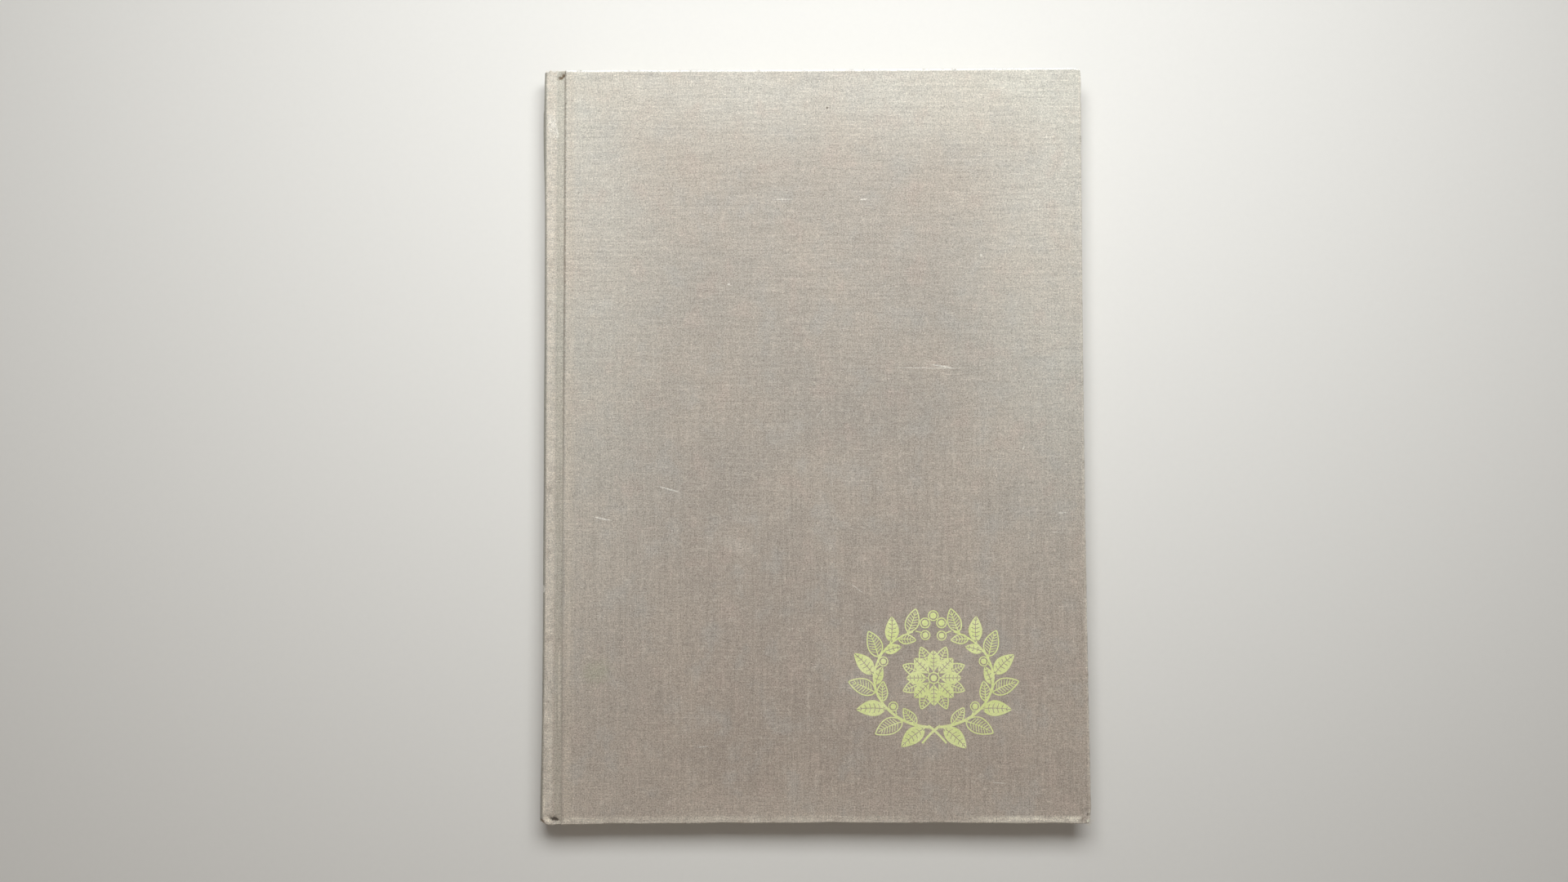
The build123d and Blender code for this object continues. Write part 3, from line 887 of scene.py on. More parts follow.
r4 = np.random.default_rng(31)
sp = []
for k in range(16):                                # bumped corner at the tail
    a = r4.uniform(-1.5, 0.4)
    st0 = (XF - 1.0 + r4.uniform(-1.6, 0.3), -H2 + r4.uniform(0.1, 2.2), 14.75 + r4.uniform(-1.6, 0.25))
    sp.append((st0, (math.cos(a), math.sin(a), r4.uniform(-0.25, 0.3)), r4.uniform(0.9, 2.4), r4.uniform(0.06, 0.10), r4.uniform(0.1, 0.5)))
for yy in (144, 122, -72, -118, 20, 61, -31):       # nicks in the fore edge
    for _ in range(2):
        sp.append(((XF - 0.75, yy + r4.uniform(-0.8, 0.8), 13.6 + 1.15 * abs(yy / H2) ** 2.2), (r4.uniform(0.4, 1), r4.uniform(-1, 1), r4.uniform(0, 0.5)), r4.uniform(0.5, 1.2), 0.06, r4.uniform(0.2, 0.6)))
for k in range(26):                                # worn tail edge
    xx = r4.uniform(-98, 110)
    lift = 1.15 * float(sstep(-101, XF, xx)) ** 1.6
    sp.append(((xx, -H2 + 0.62 + 0.45 * (1 - (xx / XF) ** 2), 13.55 + lift), (r4.uniform(-1, 1), -r4.uniform(0.2, 0.7), r4.uniform(0, 0.35)), r4.uniform(0.6, 1.6), 0.055, r4.uniform(0.1, 0.5)))
frayed_cover = threads("frayed_cover_edge", sp)
sp = []
for k in range(15):                                # crushed cap at the head
    sp.append(((-110.9 + r4.uniform(-1.2, 2.4), H2 - r4.uniform(0.4, 2.0), 12.9 + r4.uniform(-0.4, 0.6)), (r4.uniform(-1, 0.9), r4.uniform(-0.2, 1), r4.uniform(-0.2, 0.6)), r4.uniform(0.5, 1.3), r4.uniform(0.07, 0.11), r4.uniform(0.1, 0.6)))
for k in range(9):                                 # lower end of the sunken part of the back
    sp.append(((-112.7 + r4.uniform(-0.5, 0.4), H2 - 17.6 + r4.uniform(-0.5, 0.7), r4.uniform(4, 11)), (-1, r4.uniform(-0.8, 0.8), r4.uniform(-0.4, 0.4)), r4.uniform(0.4, 0.9), 0.06, 0.4))
for k in range(9):                                 # corner of the back at the tail
    sp.append(((-112.3 + r4.uniform(-0.7, 1.6), -H2 + r4.uniform(0.9, 1.5), 12.6 + r4.uniform(-0.8, 0.6)), (r4.uniform(-1, 0.6), -r4.uniform(0.1, 0.8), r4.uniform(-0.2, 0.4)), r4.uniform(0.6, 1.5), 0.07, r4.uniform(0.1, 0.6)))
frayed_back = threads("frayed_back_ends", sp)
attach(gilt, "front_cover")
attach(frayed_cover, "front_cover")
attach(frayed_back, "text_block")

# ------------------------------------------------------------------ floor, camera, light
me = bpy.data.meshes.new("floor")
me.from_pydata([(-14, -14, 0), (14, -14, 0), (14, 14, 0), (-14, 14, 0)], [], [(0, 1, 2, 3)])
floor = bpy.data.objects.new("floor", me)
scene.collection.objects.link(floor)

cam = bpy.data.cameras.new("camera")
cam.lens, cam.sensor_width = 26.25, 36.0
cam_ob = bpy.data.objects.new("camera", cam)
scene.collection.objects.link(cam_ob)
cam_ob.location = (-12.8 * MM, -19.5 * MM, 490.3 * MM)
cam_ob.rotation_euler = Euler([math.radians(a) for a in (2.37, -0.08, -0.18)], "XYZ")
cam.clip_start = 0.01
scene.camera = cam_ob


def area(name, loc, target, size, power, colour):
    l = bpy.data.lights.new(name, "AREA")
    l.shape, l.size, l.size_y = "RECTANGLE", size[0], size[1]
    l.energy, l.color = power, colour
    o = bpy.data.objects.new(name, l)
    o.location = loc
    o.rotation_euler = (Vector(target) - Vector(loc)).to_track_quat("-Z", "Y").to_euler()
    scene.collection.objects.link(o)
    return o


key = area("key", (0.02, 0.30, 0.52), (0, 0.02, 0), (0.50, 0.26), 3.75, (0.96, 0.985, 1.0))
fill = area("fill", (-0.3, -0.7, 0.9), (0, 0, 0), (1.2, 0.9), 1.0, (1.0, 0.86, 0.74))
for k in range(6):
    a = math.radians(60 * k)
    far = area("far_%d" % k, (2.3 * math.cos(a), 2.3 * math.sin(a), 2.0), (2.9 * math.cos(a), 2.9 * math.sin(a), 0), (2.4, 2.4), 9, (1.0, 0.98, 0.95))
    far.data.spread = math.radians(95)
world = bpy.data.worlds.new("world")
world.use_nodes = True
world.node_tree.nodes["Background"].inputs[0].default_value = (1.0, 0.93, 0.86, 1)
world.node_tree.nodes["Background"].inputs[1].default_value = 0.135
scene.world = world
scene.view_settings.view_transform = "Standard"
scene.view_settings.look = "None"

# ------------------------------------------------------------------ materials
def col(r, g, b):
    f = lambda c: (c / 255 / 12.92) if c / 255 <= 0.04045 else ((c / 255 + 0.055) / 1.055) ** 2.4
    return (f(r), f(g), f(b), 1.0)


class Shader:
    """A material built from nodes. Coordinates are millimetres."""

    def __init__(self, name):
        self.m = bpy.data.materials.new(name)
        self.m.use_nodes = True
        self.t = self.m.node_tree
        self.b = self.t.nodes["Principled BSDF"]

    def put(self, socket, v):
        if v is None:
            return
        if isinstance(v, bpy.types.NodeSocket):
            self.t.links.new(v, socket)
        else:
            socket.default_value = v

    def n(self, kind, *ins, **props):
        node = self.t.nodes.new("ShaderNode" + kind)
        for k, v in props.items():
            setattr(node, k, v)
        for i, v in enumerate(ins):
            self.put(node.inputs[i], v)
        return node

    def math(self, op, a, b=None, c=None, clamp=False):
        return self.n("Math", a, b, c, operation=op, use_clamp=clamp).outputs[0]

    def add(self, a, b):
        return self.math("ADD", a, b)

    def sub(self, a, b):
        return self.math("SUBTRACT", a, b)

    def mul(self, a, b):
        return self.math("MULTIPLY", a, b)

    def attr(self, name):
        return self.n("Attribute", attribute_name=name).outputs["Vector"]

    def fac(self, name):
        return self.n("Attribute", attribute_name=name).outputs["Fac"]

    def object_mm(self):
        v = self.n("TexCoord").outputs["Object"]
        return self.scale(v, (1000, 1000, 1000))

    def xyz(self, v):
        return self.n("SeparateXYZ", v).outputs

    def scale(self, v, s):
        return self.n("VectorMath", v, s, operation="MULTIPLY").outputs[0]

    def shift(self, v, s):
        return self.n("VectorMath", v, s, operation="ADD").outputs[0]

    def noise(self, v, s=(1, 1, 1), detail=2.0, rough=0.5, dist=0.0, colour=False, kind="FBM"):
        node = self.n("TexNoise", self.scale(v, s), noise_type=kind) if kind != "FBM" else self.n("TexNoise", self.scale(v, s))
        node.inputs["Scale"].default_value = 1.0
        node.inputs["Detail"].default_value = detail
        node.inputs["Roughness"].default_value = rough
        node.inputs["Distortion"].default_value = dist
        return node.outputs["Color" if colour else 0]

    def step(self, v, a, b, lo=0.0, hi=1.0):
        node = self.n("MapRange", interpolation_type="SMOOTHSTEP")
        self.put(node.inputs["Value"], v)
        for k, w in (("From Min", a), ("From Max", b), ("To Min", lo), ("To Max", hi)):
            node.inputs[k].default_value = w
        return node.outputs[0]

    def mix(self, f, a, b, mode="MIX"):
        node = self.n("Mix", data_type="RGBA", blend_type=mode)
        self.put(node.inputs[0], f)
        self.put(node.inputs[6], a)
        self.put(node.inputs[7], b)
        return node.outputs[2]

    def gain(self, colour, f):
        """Colour times a number."""
        node = self.n("VectorMath", colour[:3] if isinstance(colour, tuple) else colour, operation="SCALE")
        self.put(node.inputs["Scale"], f)
        return node.outputs[0]

    def spot(self, v, x, y, hx, hy, ang=0.0, soft=0.55):
        """Mask of an ellipse round (x, y), half sizes hx and hy, turned by ang degrees; its depth is unbounded."""
        node = self.n("Mapping", v, vector_type="TEXTURE")
        node.inputs["Location"].default_value = (x, y, 0)
        node.inputs["Rotation"].default_value = (0, 0, math.radians(ang))
        node.inputs["Scale"].default_value = (hx, hy, 1e5)
        d = self.n("VectorMath", node.outputs[0], operation="LENGTH").outputs["Value"]
        return self.step(d, 1.0, soft)

    def finish(self, colour, rough, height=None, dist=0.0001, strength=0.5, **const):
        self.put(self.b.inputs["Base Color"], colour)
        self.put(self.b.inputs["Roughness"], rough)
        if height is not None:
            bump = self.n("Bump")
            bump.inputs["Strength"].default_value = strength
            bump.inputs["Distance"].default_value = dist
            self.put(bump.inputs["Height"], height)
            self.put(self.b.inputs["Normal"], bump.outputs[0])
        for k, v in const.items():
            self.b.inputs[k.replace("_", " ")].default_value = v
        return self.m


LINEN = col(191, 181, 168)


def linen(s, st, rest):
    """Fine linen: tones of single threads, slubs, pale flecks, painted shade at the thread edges, and its relief. st
    runs along the threads.
    """
    wob = s.noise(st, (0.11, 0.11, 0.0), 2)
    X, Y, _ = s.xyz(st)
    Xd = s.add(X, s.mul(wob, 0.9))
    Yd = s.add(Y, s.mul(wob, -0.9))
    # about 20 threads to the centimetre; at each crossing one of the two lies on top, and every thread has its own tone
    Xd, Yd = s.mul(Xd, 1 / 0.52), s.mul(Yd, 1 / 0.49)
    i, j = s.math("FLOOR", Xd), s.math("FLOOR", Yd)
    side = s.math("FLOORED_MODULO", s.add(i, j), 2.0)
    u = s.sub(s.sub(Xd, i), 0.5)
    v = s.sub(s.sub(Yd, j), 0.5)
    u2, v2 = s.mul(s.mul(u, u), 4.0), s.mul(s.mul(v, v), 4.0)
    warp_n = s.noise(s.n("CombineXYZ", s.mul(i, 7.31), s.mul(Y, 0.42), 0.0).outputs[0], (1, 1, 1), 1.5, 0.7)
    weft_n = s.noise(s.n("CombineXYZ", s.mul(X, 0.38), s.mul(j, 7.31), 4.0).outputs[0], (1, 1, 1), 1.5, 0.7)
    top = s.n("Mix", data_type="FLOAT")
    for k, w in ((0, side), (2, warp_n), (3, weft_n)):
        s.put(top.inputs[k], w)
    across = s.n("Mix", data_type="FLOAT")
    for k, w in ((0, side), (2, s.add(s.mul(u2, 0.75), s.mul(v2, 0.35))), (3, s.add(s.mul(v2, 0.75), s.mul(u2, 0.35)))):
        s.put(across.inputs[k], w)
    body = s.sub(1.0, across.outputs[0])
    slub = s.step(s.noise(s.shift(st, (5.0, 91.0, 0.0)), (0.060, 1.15, 0.0), 1.0, 0.4), 0.58, 0.74)
    slub_v = s.step(s.noise(s.shift(st, (55.0, 9.0, 0.0)), (1.15, 0.06, 0.0), 1.0, 0.4), 0.62, 0.78)
    fleck = s.step(s.noise(s.shift(st, (9.0, 3.0, 0.0)), (0.45, 0.95, 0.0), 1.0, 0.4), 0.64, 0.74)
    grain = s.noise(st, (1.7, 1.7, 0.0), 2.0, 0.85)
    speck = s.n("TexWhiteNoise", s.n("CombineXYZ", i, j, 0.0).outputs[0], noise_dimensions="2D").outputs["Value"]
    tone = s.add(0.935, s.mul(s.sub(top.outputs[0], 0.5), 0.80))
    tone = s.add(tone, s.mul(s.sub(grain, 0.5), 1.55))
    tone = s.add(tone, s.mul(s.mul(s.sub(speck, 0.5), body), 0.15))
    tone = s.add(tone, s.mul(slub, 0.085))
    tone = s.add(tone, s.mul(slub_v, 0.030))
    run_x = s.noise(s.shift(st, (3.0, 61.0, 0.0)), (0.045, 0.80, 0.0), 2.0, 0.6)
    run_y = s.noise(s.shift(st, (83.0, 7.0, 0.0)), (0.80, 0.035, 0.0), 2.0, 0.6)
    where = s.step(Y, -60.0, 90.0, 0.30, 0.75)
    tone = s.add(tone, s.mul(s.mul(s.sub(run_x, 0.5), where), 0.50))
    tone = s.add(tone, s.mul(s.mul(s.sub(run_y, 0.5), s.sub(1.0, where)), 0.54))
    tone = s.add(tone, s.mul(fleck, 0.16))
    # painted shade: each thread darker towards its edges and in the gaps, as its round shape would be lit
    tone = s.add(tone, s.mul(body, 0.085))
    height = s.add(s.mul(body, 0.75), s.mul(top.outputs[0], 0.6))
    height = s.add(height, s.add(s.mul(slub, 0.5), s.mul(grain, 0.4)))
    return tone, height, grain


def book_cloth(name, front):
    s = Shader(name)
    st, rest, wear = s.attr("cloth"), s.attr("rest"), s.fac("wear")
    tone, height, grain = linen(s, st, rest)
    x, y, z = s.xyz(rest)
    big = s.noise(rest, (0.022, 0.022, 0.0), 3.0, 0.55)
    mid = s.noise(s.shift(rest, (400.0, 90.0, 0.0)), (0.075, 0.06, 0.0), 3.0, 0.6)
    small = s.noise(s.shift(rest, (40.0, 700.0, 0.0)), (0.28, 0.24, 0.0), 3.0, 0.6)
    # faded towards the back and the fore edge, pale at the tail edge; paler towards the head as painted sheen, browner
    # and darker towards the tail as painted shade
    side = s.math("MAXIMUM", s.step(x, -40.0, -112.0), s.mul(s.step(x, 44.0, 108.0), s.step(y, -90.0, 40.0, 0.3, 1.0)))
    fade_and_head_sheen = s.math("MAXIMUM", s.math("MAXIMUM", side, s.step(y, 105.0, 156.0)), s.step(y, -140.0, -157.0, 0.0, 0.6))
    c = s.mix(fade_and_head_sheen, col(181, 173, 162), col(200, 195, 184))
    # painted sheen: a pale, greyer patch over the middle of the head of the cover
    c = s.mix(s.mul(s.step(y, 110.0, 155.0), s.step(s.math("ABSOLUTE", s.add(x, 20.0)), 30.0, 95.0, 0.0, 0.65)), c, col(209, 206, 194))
    # painted shade: the lower part of the cover browner, like warm light falling at the tail
    c = s.mix(s.mul(s.step(y, 60.0, -150.0), 0.62), c, col(184, 167, 152))
    # painted shade: the cover darkened towards the tail and lightened a little at the head; then a little lighter again
    # at the very tail
    shade_gradient_gain = s.sub(1.0, s.add(s.step(y, 120.0, 10.0, 0.0, 0.125), s.mul(s.mul(s.step(y, 120.0, 155.0), fade_and_head_sheen), -0.03)))
    c = s.gain(c, s.add(shade_gradient_gain, s.step(y, -128.0, -156.0, 0.0, 0.05)))
    c = s.mix(s.mul(s.step(big, 0.42, 0.62), 0.22), c, col(196, 182, 166))
    c = s.mix(s.mul(s.step(mid, 0.50, 0.68), 0.24), c, col(178, 177, 172))
    c = s.mix(s.mul(s.step(mid, 0.46, 0.32), 0.20), c, col(194, 174, 162))
    c = s.mix(s.mul(s.step(small, 0.54, 0.72), 0.34), c, col(202, 193, 180))
    c = s.mix(s.mul(s.step(small, 0.44, 0.30), 0.25), c, col(176, 166, 156))
    # the round back and the joint: handled, a little greener and darker; the rib rubbed lighter
    c = s.mix(s.mul(s.step(x, -111.3, -112.1), 0.75), c, col(156, 152, 139))
    groove = s.mul(s.step(x, -107.6, -106.9), s.step(x, -103.8, -104.4))
    c = s.mix(s.mul(groove, 0.40), c, col(174, 169, 154))
    ribm = s.mul(s.step(x, -111.9, -111.3), s.step(x, -107.3, -107.9))
    c = s.mix(s.mul(ribm, s.step(small, 0.30, 0.7, 0.15, 0.85)), c, col(205, 195, 180))
    near = s.mul(s.step(x, -103.6, -102.8), s.step(x, -98.0, -102.0))
    c = s.mix(s.mul(near, 0.35), c, col(203, 191, 174))
    if front:
        jig = s.n("VectorMath", s.noise(rest, (0.9, 0.9, 0.0), 3.0, 0.6, colour=True), (0.5, 0.5, 0.5), operation="SUBTRACT").outputs[0]
        p = s.shift(rest, s.scale(jig, (0.8, 0.8, 0.0)))
        marks = [  # x, y, half length, half width, turn, strength
            (54.1, 31.3, 5.4, 0.34, -9, 0.85), (49.0, 30.6, 17.0, 0.24, -0.6, 0.5), (21.8, 101.8, 1.9, 0.36, 8, 0.9),
            (-59.8, -19.8, 5.3, 0.36, -16, 0.85), (-87.5, -31.9, 4.8, 0.32, -12, 0.8), (-12.2, 101.9, 5.3, 0.28, 1, 0.65),
            (-35.0, 66.0, 0.8, 0.5, 30, 0.7), (71.0, 78.0, 0.7, 0.6, 0, 0.75), (88.0, -3.0, 1.1, 0.4, 70, 0.65), (60.0, -58.0, 0.6, 0.5, 0, 0.7), (30.0, -87.0, 0.5, 0.5, 0, 0.7),
            (3.0, 12.0, 3.4, 0.2, 52, 0.5), (-74.0, 115.0, 2.8, 0.2, 24, 0.5), (18.0, -61.0, 4.2, 0.2, -38, 0.55),
            (99.0, 128.0, 2.0, 0.26, 82, 0.55), (-46.0, -126.0, 2.8, 0.24, 5, 0.6), (76.0, -141.0, 3.4, 0.22, -4, 0.6), (104.0, -30.0, 2.4, 0.3, 4, 0.6), (101.0, -38.0, 1.8, 0.25, -6, 0.5),
            (-112.6, -61.0, 0.9, 2.1, 0, 0.9)]
        light = None
        for mx, my, hl, hw, an, k in marks:
            m = s.mul(s.spot(p, mx, my, hl, hw, an), k)
            light = m if light is None else s.math("MAXIMUM", light, m)
        c = s.mix(light, c, col(226, 222, 212))
        # a greenish and a pale patch, a dark speck
        rough_edge = s.shift(rest, s.scale(jig, (9.0, 9.0, 0.0)))
        c = s.mix(s.mul(s.spot(rough_edge, -90, -95, 9, 7, 20, 0.1), 0.30), c, col(160, 166, 138))
        c = s.mix(s.mul(s.spot(rough_edge, -32, -43, 11, 5, -25, 0.1), 0.28), c, col(207, 199, 188))
        c = s.mix(s.mul(s.spot(p, 6.5, 140.9, 0.7, 0.55), 0.7), c, col(92, 80, 66))
        # white rub on the rib near the head
        rub = s.mul(s.spot(rough_edge, -109.0, 133.0, 1.9, 6.6, 8, 0.35), s.step(small, 0.28, 0.55, 0.35, 1.0))
        c = s.mix(s.mul(rub, 0.85), c, col(232, 228, 218))
        # painted shade: a dark broken line in the corner of the groove, along the edge of the board
        ln = s.math("ABSOLUTE", s.add(s.add(x, 103.72), s.mul(s.sub(s.noise(rest, (0.0, 0.35, 0.0), 3.0, 0.7), 0.5), 0.9)))
        line = s.mul(s.step(ln, 0.55, 0.15), s.step(y, -40.0, 70.0, 0.0, 0.66))
        line = s.mul(line, s.step(s.noise(rest, (0.3, 0.45, 0.0), 4.0, 0.8), 0.36, 0.58, 0.20, 1.0))
        c = s.mix(s.mul(line, 0.78), c, col(112, 94, 72))
        # torn head cap and the dent at the tail, both painted dark as shade in their pits
        wob2 = s.shift(rest, s.scale(jig, (2.2, 2.2, 0.0)))
        cap = s.spot(wob2, -105.5, 155.0, 3.0, 1.15, 39, 0.35)
        c = s.mix(s.mul(cap, 0.9), c, col(96, 76, 52))
        fold_rub = s.math("MAXIMUM", s.spot(wob2, -109.8, -155.3, 2.4, 1.3, -18, 0.4), s.mul(s.spot(wob2, -111.4, -149.0, 0.9, 6.0, 0, 0.4), 0.6))
        c = s.mix(s.mul(fold_rub, 0.70), c, col(234, 222, 202))
        # painted shade in the dent at the tail of the groove
        dent = s.spot(wob2, -107.2, -155.2, 3.2, 0.95, -14, 0.4)
        c = s.mix(s.mul(dent, 0.88), c, col(58, 48, 40))
        br = s.spot(wob2, -112.4, -156.4, 1.8, 1.2, 0, 0.3)
        c = s.mix(s.mul(br, 0.8), c, col(112, 88, 66))
        # painted shadow above the bumped corner at the tail, and beside it along the tail edge
        corner_shadow = s.math("MAXIMUM", s.spot(wob2, 112.7, -153.9, 1.1, 0.9, 0, 0.3), s.mul(s.spot(wob2, 110.4, -155.6, 1.7, 0.5, 38, 0.3), 0.6))
        c = s.mix(s.mul(corner_shadow, 0.75), c, col(92, 80, 68))
        knob = s.spot(wob2, 113.2, -156.2, 1.3, 1.0, 0, 0.4)
        c = s.mix(s.mul(knob, 0.85), c, col(232, 230, 210))
        # a pale rubbed thread along the edge of the board, in its lower part
        ridge = s.mul(s.spot(p, -105.4, -101.0, 0.5, 27.0, 0, 0.5), s.step(small, 0.34, 0.56, 0.35, 1.0))
        c = s.mix(s.mul(ridge, 0.55), c, col(212, 202, 186))
        # the tail edge is rubbed pale in a broken band, most of all at its two ends
        band_ = s.mul(s.mul(s.step(y, -153.8, -155.3), s.step(z, 12.6, 13.3)), s.step(x, -104.6, -103.2))
        ends = s.math("MAXIMUM", s.step(x, 64.0, 84.0, 0.30, 0.85), s.step(x, -92.0, -101.0, 0.30, 0.60))
        ends = s.mul(ends, s.step(s.math("ABSOLUTE", s.sub(x, 49.0)), 6.0, 16.0, 0.15, 1.0))
        ends = s.mul(ends, s.step(x, 110.6, 108.4))
        broken = s.step(s.noise(rest, (0.16, 0.5, 0.16), 3.0, 0.65), 0.36, 0.58, 0.25, 1.0)
        c = s.mix(s.mul(s.mul(band_, ends), broken), c, col(236, 228, 210))
    # rubbed edges: pale thread tips, with soil between them
    wn = s.noise(rest, (0.33, 0.33, 0.33), 3.0, 0.65)
    wf = s.noise(rest, (1.3, 1.3, 1.3), 2.0, 0.6)
    pale = s.mul(s.mul(wear, s.step(wn, 0.36, 0.60, 0.25, 1.0)), s.step(wf, 0.30, 0.55, 0.45, 1.0))
    c = s.mix(s.mul(pale, 0.80), c, col(222, 214, 200))
    # painted highlight: the rounded head edge of the board, facing the key light, brightened nearly to white
    head_edge_highlight = s.mul(s.mul(s.step(y, 156.25, 156.85), s.step(x, -104.5, -103.0)), s.step(z, 12.0, 13.0))
    c = s.mix(s.mul(head_edge_highlight, s.step(wf, 0.22, 0.45, 0.72, 0.95)), c, col(250, 248, 243))
    soil = s.mul(s.mul(wear, s.step(wn, 0.44, 0.32)), 0.45)
    c = s.mix(soil, c, col(132, 118, 102))
    c = s.gain(c, tone)
    rough = s.step(grain, 0.2, 0.8, 0.78, 0.92)
    return s.finish(c, rough, height, 0.00016, 0.45, Sheen_Weight=0.18, Sheen_Roughness=0.45, Specular_IOR_Level=0.30)


def paper(name, base, coords=None, gutter=False, leaf=False):
    s = Shader(name)
    p = s.attr("rest") if coords == "rest" else s.object_mm()
    fibre = s.noise(p, (1.1, 0.7, 1.1), 4.0, 0.7)
    cloud = s.noise(p, (0.045, 0.045, 0.045), 3.0, 0.55)
    c = s.mix(s.step(cloud, 0.3, 0.7), base, tuple(b * k for b, k in zip(base, (0.965, 0.955, 0.92, 1))))
    spots = s.step(s.noise(p, (0.16, 0.16, 0.16), 2.0, 0.5), 0.71, 0.79)
    c = s.mix(s.mul(spots, 0.30), c, col(196, 164, 120))
    tone = s.add(0.985, s.mul(s.sub(fibre, 0.5), 0.10))
    h = fibre
    if gutter:
        x, y, z = s.xyz(p)
        c = s.mix(s.mul(s.step(x, -99.0, -107.0), 0.45), c, col(188, 168, 138))
        edge = s.step(s.math("ABSOLUTE", y), 149.0, 155.5)
        c = s.mix(s.mul(edge, 0.18), c, col(196, 176, 146))
    if leaf:
        v, g, _ = s.xyz(s.attr("leaf"))
        k = s.math("FLOOR", s.mul(v, float(NL)))
        wn = s.n("TexWhiteNoise", noise_dimensions="1D")
        s.put(wn.inputs["W"], k)
        r = wn.outputs["Value"]
        c = s.mix(s.mul(r, 0.22), c, col(212, 197, 168))
        tone = s.mul(tone, s.add(0.93, s.mul(r, 0.09)))
        # painted shade in the gaps between the leaves
        tone = s.mul(tone, s.sub(1.0, s.mul(g, 0.48)))
        x, y, z = s.xyz(p)
        dust = s.step(s.noise(p, (0.06, 0.06, 0.4), 3.0, 0.6), 0.45, 0.75)
        c = s.mix(s.mul(dust, 0.18), c, col(186, 170, 144))
    c = s.gain(c, tone)
    return s.finish(c, s.step(fibre, 0.2, 0.8, 0.72, 0.86), h, 0.00003, 0.35, Specular_IOR_Level=0.35)


def board_grey():
    s = Shader("grey_board")
    p = s.attr("rest")
    f = s.noise(p, (0.9, 0.5, 2.0), 4.0, 0.75)
    bits = s.step(s.noise(p, (1.9, 1.2, 2.5), 1.0), 0.68, 0.74)
    c = s.mix(s.step(f, 0.3, 0.7), col(138, 134, 126), col(160, 155, 145))
    c = s.mix(s.mul(bits, 0.5), c, col(94, 90, 84))
    return s.finish(c, s.step(f, 0.2, 0.8, 0.82, 0.93), f, 0.00008, 0.4, Specular_IOR_Level=0.3)


def gauze():
    s = Shader("starched_gauze")
    p = s.object_mm()
    x, y, z = s.xyz(p)
    w = s.noise(p, (0.5, 0.5, 0.5), 2.0)
    gx = s.step(s.math("ABSOLUTE", s.math("SINE", s.mul(s.add(x, s.mul(w, 0.3)), math.pi / 1.1))), 0.35, 0.75)
    gy = s.step(s.math("ABSOLUTE", s.math("SINE", s.mul(s.add(y, s.mul(w, 0.3)), math.pi / 1.1))), 0.35, 0.75)
    hole = s.mul(gx, gy)
    fib = s.noise(p, (3.0, 3.0, 3.0), 3.0, 0.7)
    c = s.mix(hole, col(214, 202, 178), col(150, 128, 96))
    c = s.gain(c, s.add(0.94, s.mul(s.sub(fib, 0.5), 0.3)))
    return s.finish(c, s.step(fib, 0.2, 0.8, 0.72, 0.9), s.sub(1.0, hole), 0.0002, 0.6, Specular_IOR_Level=0.3)


def kraft(name, a, b, coords=None):
    s = Shader(name)
    p = s.attr("rest") if coords else s.object_mm()
    f = s.noise(p, (1.4, 0.35, 1.4), 4.0, 0.7)
    big = s.noise(p, (0.08, 0.05, 0.08), 2.0)
    bits = s.step(s.noise(p, (2.2, 0.6, 2.2), 1.0), 0.67, 0.73)
    c = s.mix(s.step(f, 0.3, 0.7), a, b)
    c = s.mix(s.mul(bits, 0.35), c, tuple(k * 0.5 for k in a[:3]) + (1,))
    c = s.gain(c, s.add(0.9, s.mul(big, 0.2)))
    return s.finish(c, s.step(f, 0.2, 0.8, 0.72, 0.88), f, 0.00006, 0.4, Specular_IOR_Level=0.3)


def thread_mat(name, a, b, worked=False):
    s = Shader(name)
    p = s.attr("rest") if worked else s.object_mm()
    f = s.noise(p, (6.0, 6.0, 6.0), 3.0, 0.7)
    big = s.noise(p, (0.3, 0.3, 0.3), 2.0)
    if worked:
        k, bead, _ = s.xyz(s.attr("thread"))
        c = s.mix(s.step(k, 0.35, 0.65), a, b)
        # painted shade: the cord darker in the dips between its beads, lighter on their tops
        c = s.gain(c, s.add(s.mul(bead, 0.45), 0.60))
        x, y, z = s.xyz(p)
        ply = s.math("SINE", s.mul(s.add(s.mul(y, 1.0), s.mul(z, 0.35)), 22.0))
        h = s.add(f, s.mul(ply, 0.25))
    else:
        c = s.mix(s.step(f, 0.3, 0.7), a, b)
        x, y, z = s.xyz(p)
        h = s.add(f, s.mul(s.math("SINE", s.mul(s.add(x, s.add(y, z)), 16.0)), 0.4))
    c = s.gain(c, s.add(0.9, s.mul(s.sub(big, 0.5), 0.4)))
    return s.finish(c, s.step(f, 0.2, 0.8, 0.62, 0.85), h, 0.0001, 0.5, Sheen_Weight=0.2, Specular_IOR_Level=0.35)


def gold():
    """Gold foil on the cloth: the threads show in it, and their tips are rubbed through in places."""
    s = Shader("gilt")
    st, rest = s.attr("cloth"), s.attr("rest")
    tone, height, grain = linen(s, st, rest)
    patch = s.noise(rest, (0.09, 0.09, 0.0), 3.0, 0.6)
    fine = s.noise(rest, (1.1, 1.1, 0.0), 3.0, 0.7)
    c = s.mix(s.step(patch, 0.36, 0.64), col(232, 240, 164), col(241, 246, 181))
    c = s.mix(s.mul(s.step(fine, 0.55, 0.75), 0.40), c, col(250, 250, 216))
    worn = s.mul(s.step(fine, 0.40, 0.30), s.step(patch, 0.42, 0.62, 0.45, 1.0))
    c = s.mix(s.mul(worn, 0.6), c, col(178, 168, 136))
    c = s.gain(c, s.add(0.62, s.mul(tone, 0.38)))
    return s.finish(c, s.step(fine, 0.2, 0.8, 0.42, 0.60), height, 0.00010, 0.35, Metallic=0.22, Specular_IOR_Level=0.5)


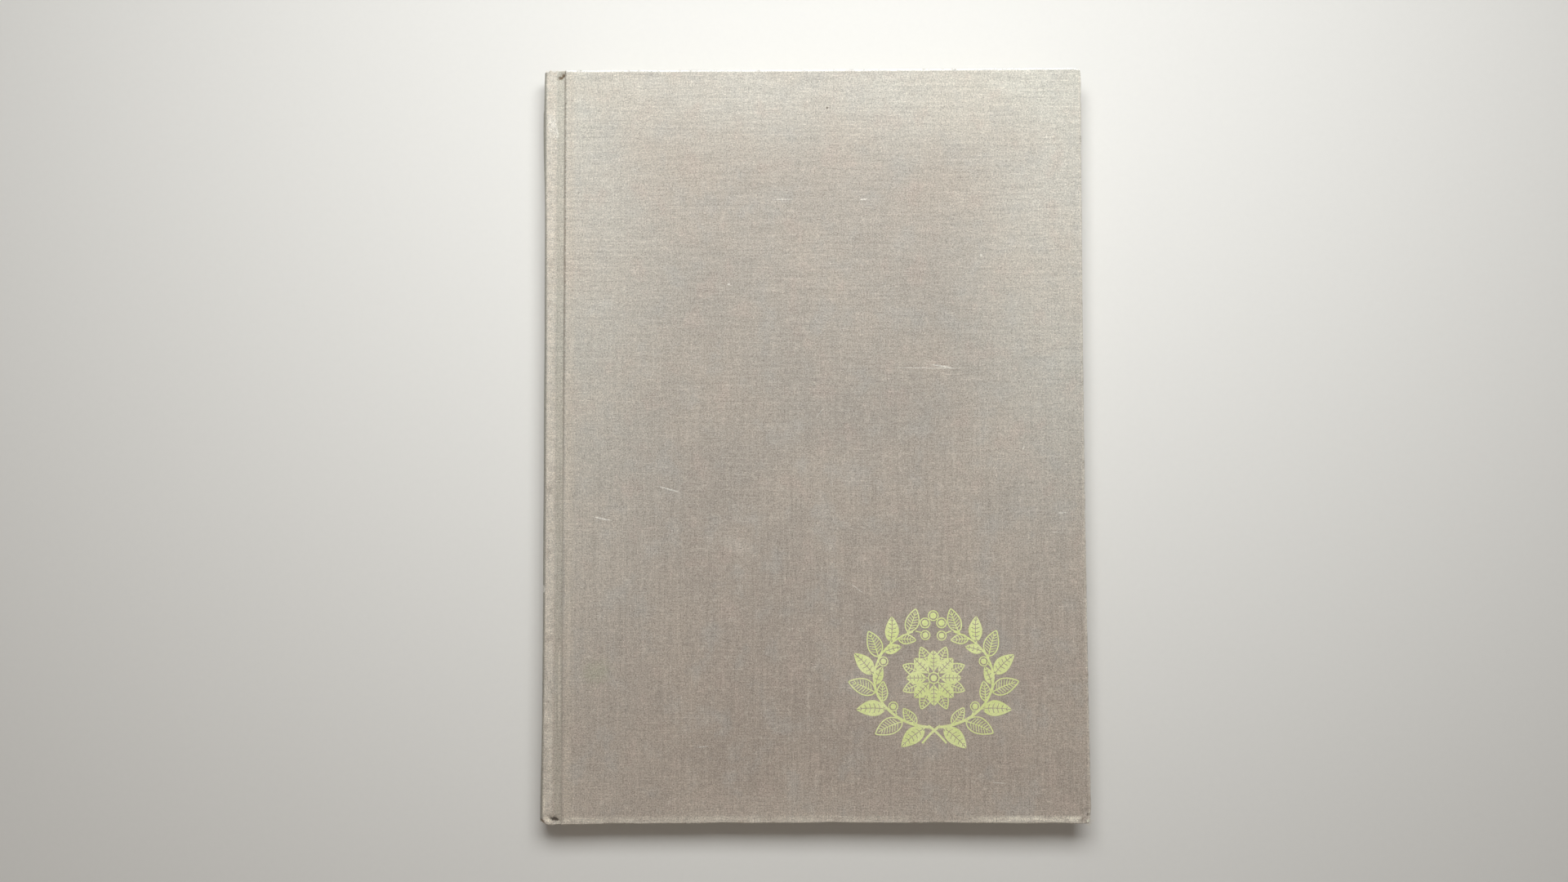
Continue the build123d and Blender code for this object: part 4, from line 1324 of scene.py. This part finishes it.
def frayed():
    s = Shader("frayed_thread")
    p = s.attr("rest")
    f = s.noise(p, (3.0, 3.0, 3.0), 3.0, 0.7)
    c = s.mix(s.step(f, 0.3, 0.7), col(206, 196, 178), col(236, 230, 216))
    return s.finish(c, s.step(f, 0.2, 0.8, 0.7, 0.9), f, 0.00005, 0.5, Sheen_Weight=0.2, Specular_IOR_Level=0.3)


def floor_mat():
    s = Shader("floor")
    p = s.object_mm()
    f = s.noise(p, (0.4, 0.4, 0.4), 3.0, 0.6)
    c = s.gain(FLOOR_COL, s.add(0.985, s.mul(f, 0.03)))
    return s.finish(c, 0.85, f, 0.00002, 0.2, Specular_IOR_Level=0.2)


FLOOR_COL = col(232, 230, 225)
CREAM, END = col(243, 236, 219), col(234, 228, 214)
M = {
    "cloth_front": book_cloth("linen_front", True), "cloth_back": book_cloth("linen_back", False),
    "page": paper("page_paper", CREAM, "rest", leaf=True), "end": paper("endpaper", END, "rest", gutter=True),
    "fly": paper("flyleaf", END, None, gutter=True), "board": board_grey(), "gauze": gauze(),
    "kraft": kraft("kraft_paper", col(146, 112, 76), col(172, 138, 98)), "inlay": kraft("spine_paper", col(150, 142, 126), col(172, 164, 146), "rest"),
    "band": thread_mat("band_thread", col(226, 218, 196), col(112, 116, 88), worked=True), "thread": thread_mat("sewing_thread", col(214, 204, 180), col(236, 228, 208)),
    "gold": gold(), "frayed": frayed(), "floor": floor_mat()}


def paint(ob, m):
    if ob.material_slots:
        for sl in ob.material_slots:
            sl.material = m
    else:
        ob.data.materials.append(m)


for ob, key_ in ((cloth_front, "cloth_front"), (cloth_back, "cloth_back"), (front_board, "board"), (back_board, "board"), (paste_front, "end"),
                 (gilt, "gold"), (spine_paper, "inlay"), (frayed_cover, "frayed"), (frayed_back, "frayed"), (paste_back, "end"), (pages, "page"), (head_band, "band"), (tail_band, "band"), (floor, "floor")):
    paint(ob, M[key_])
for node_name, key_ in (("front_flyleaf", "fly"), ("back_flyleaf", "fly"), ("mull", "gauze"), ("front_mull_flap", "gauze"), ("back_mull_flap", "gauze"),
                        ("spine_lining", "kraft"), ("sewing_thread", "thread")):
    paint(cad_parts[node_name], M[key_])
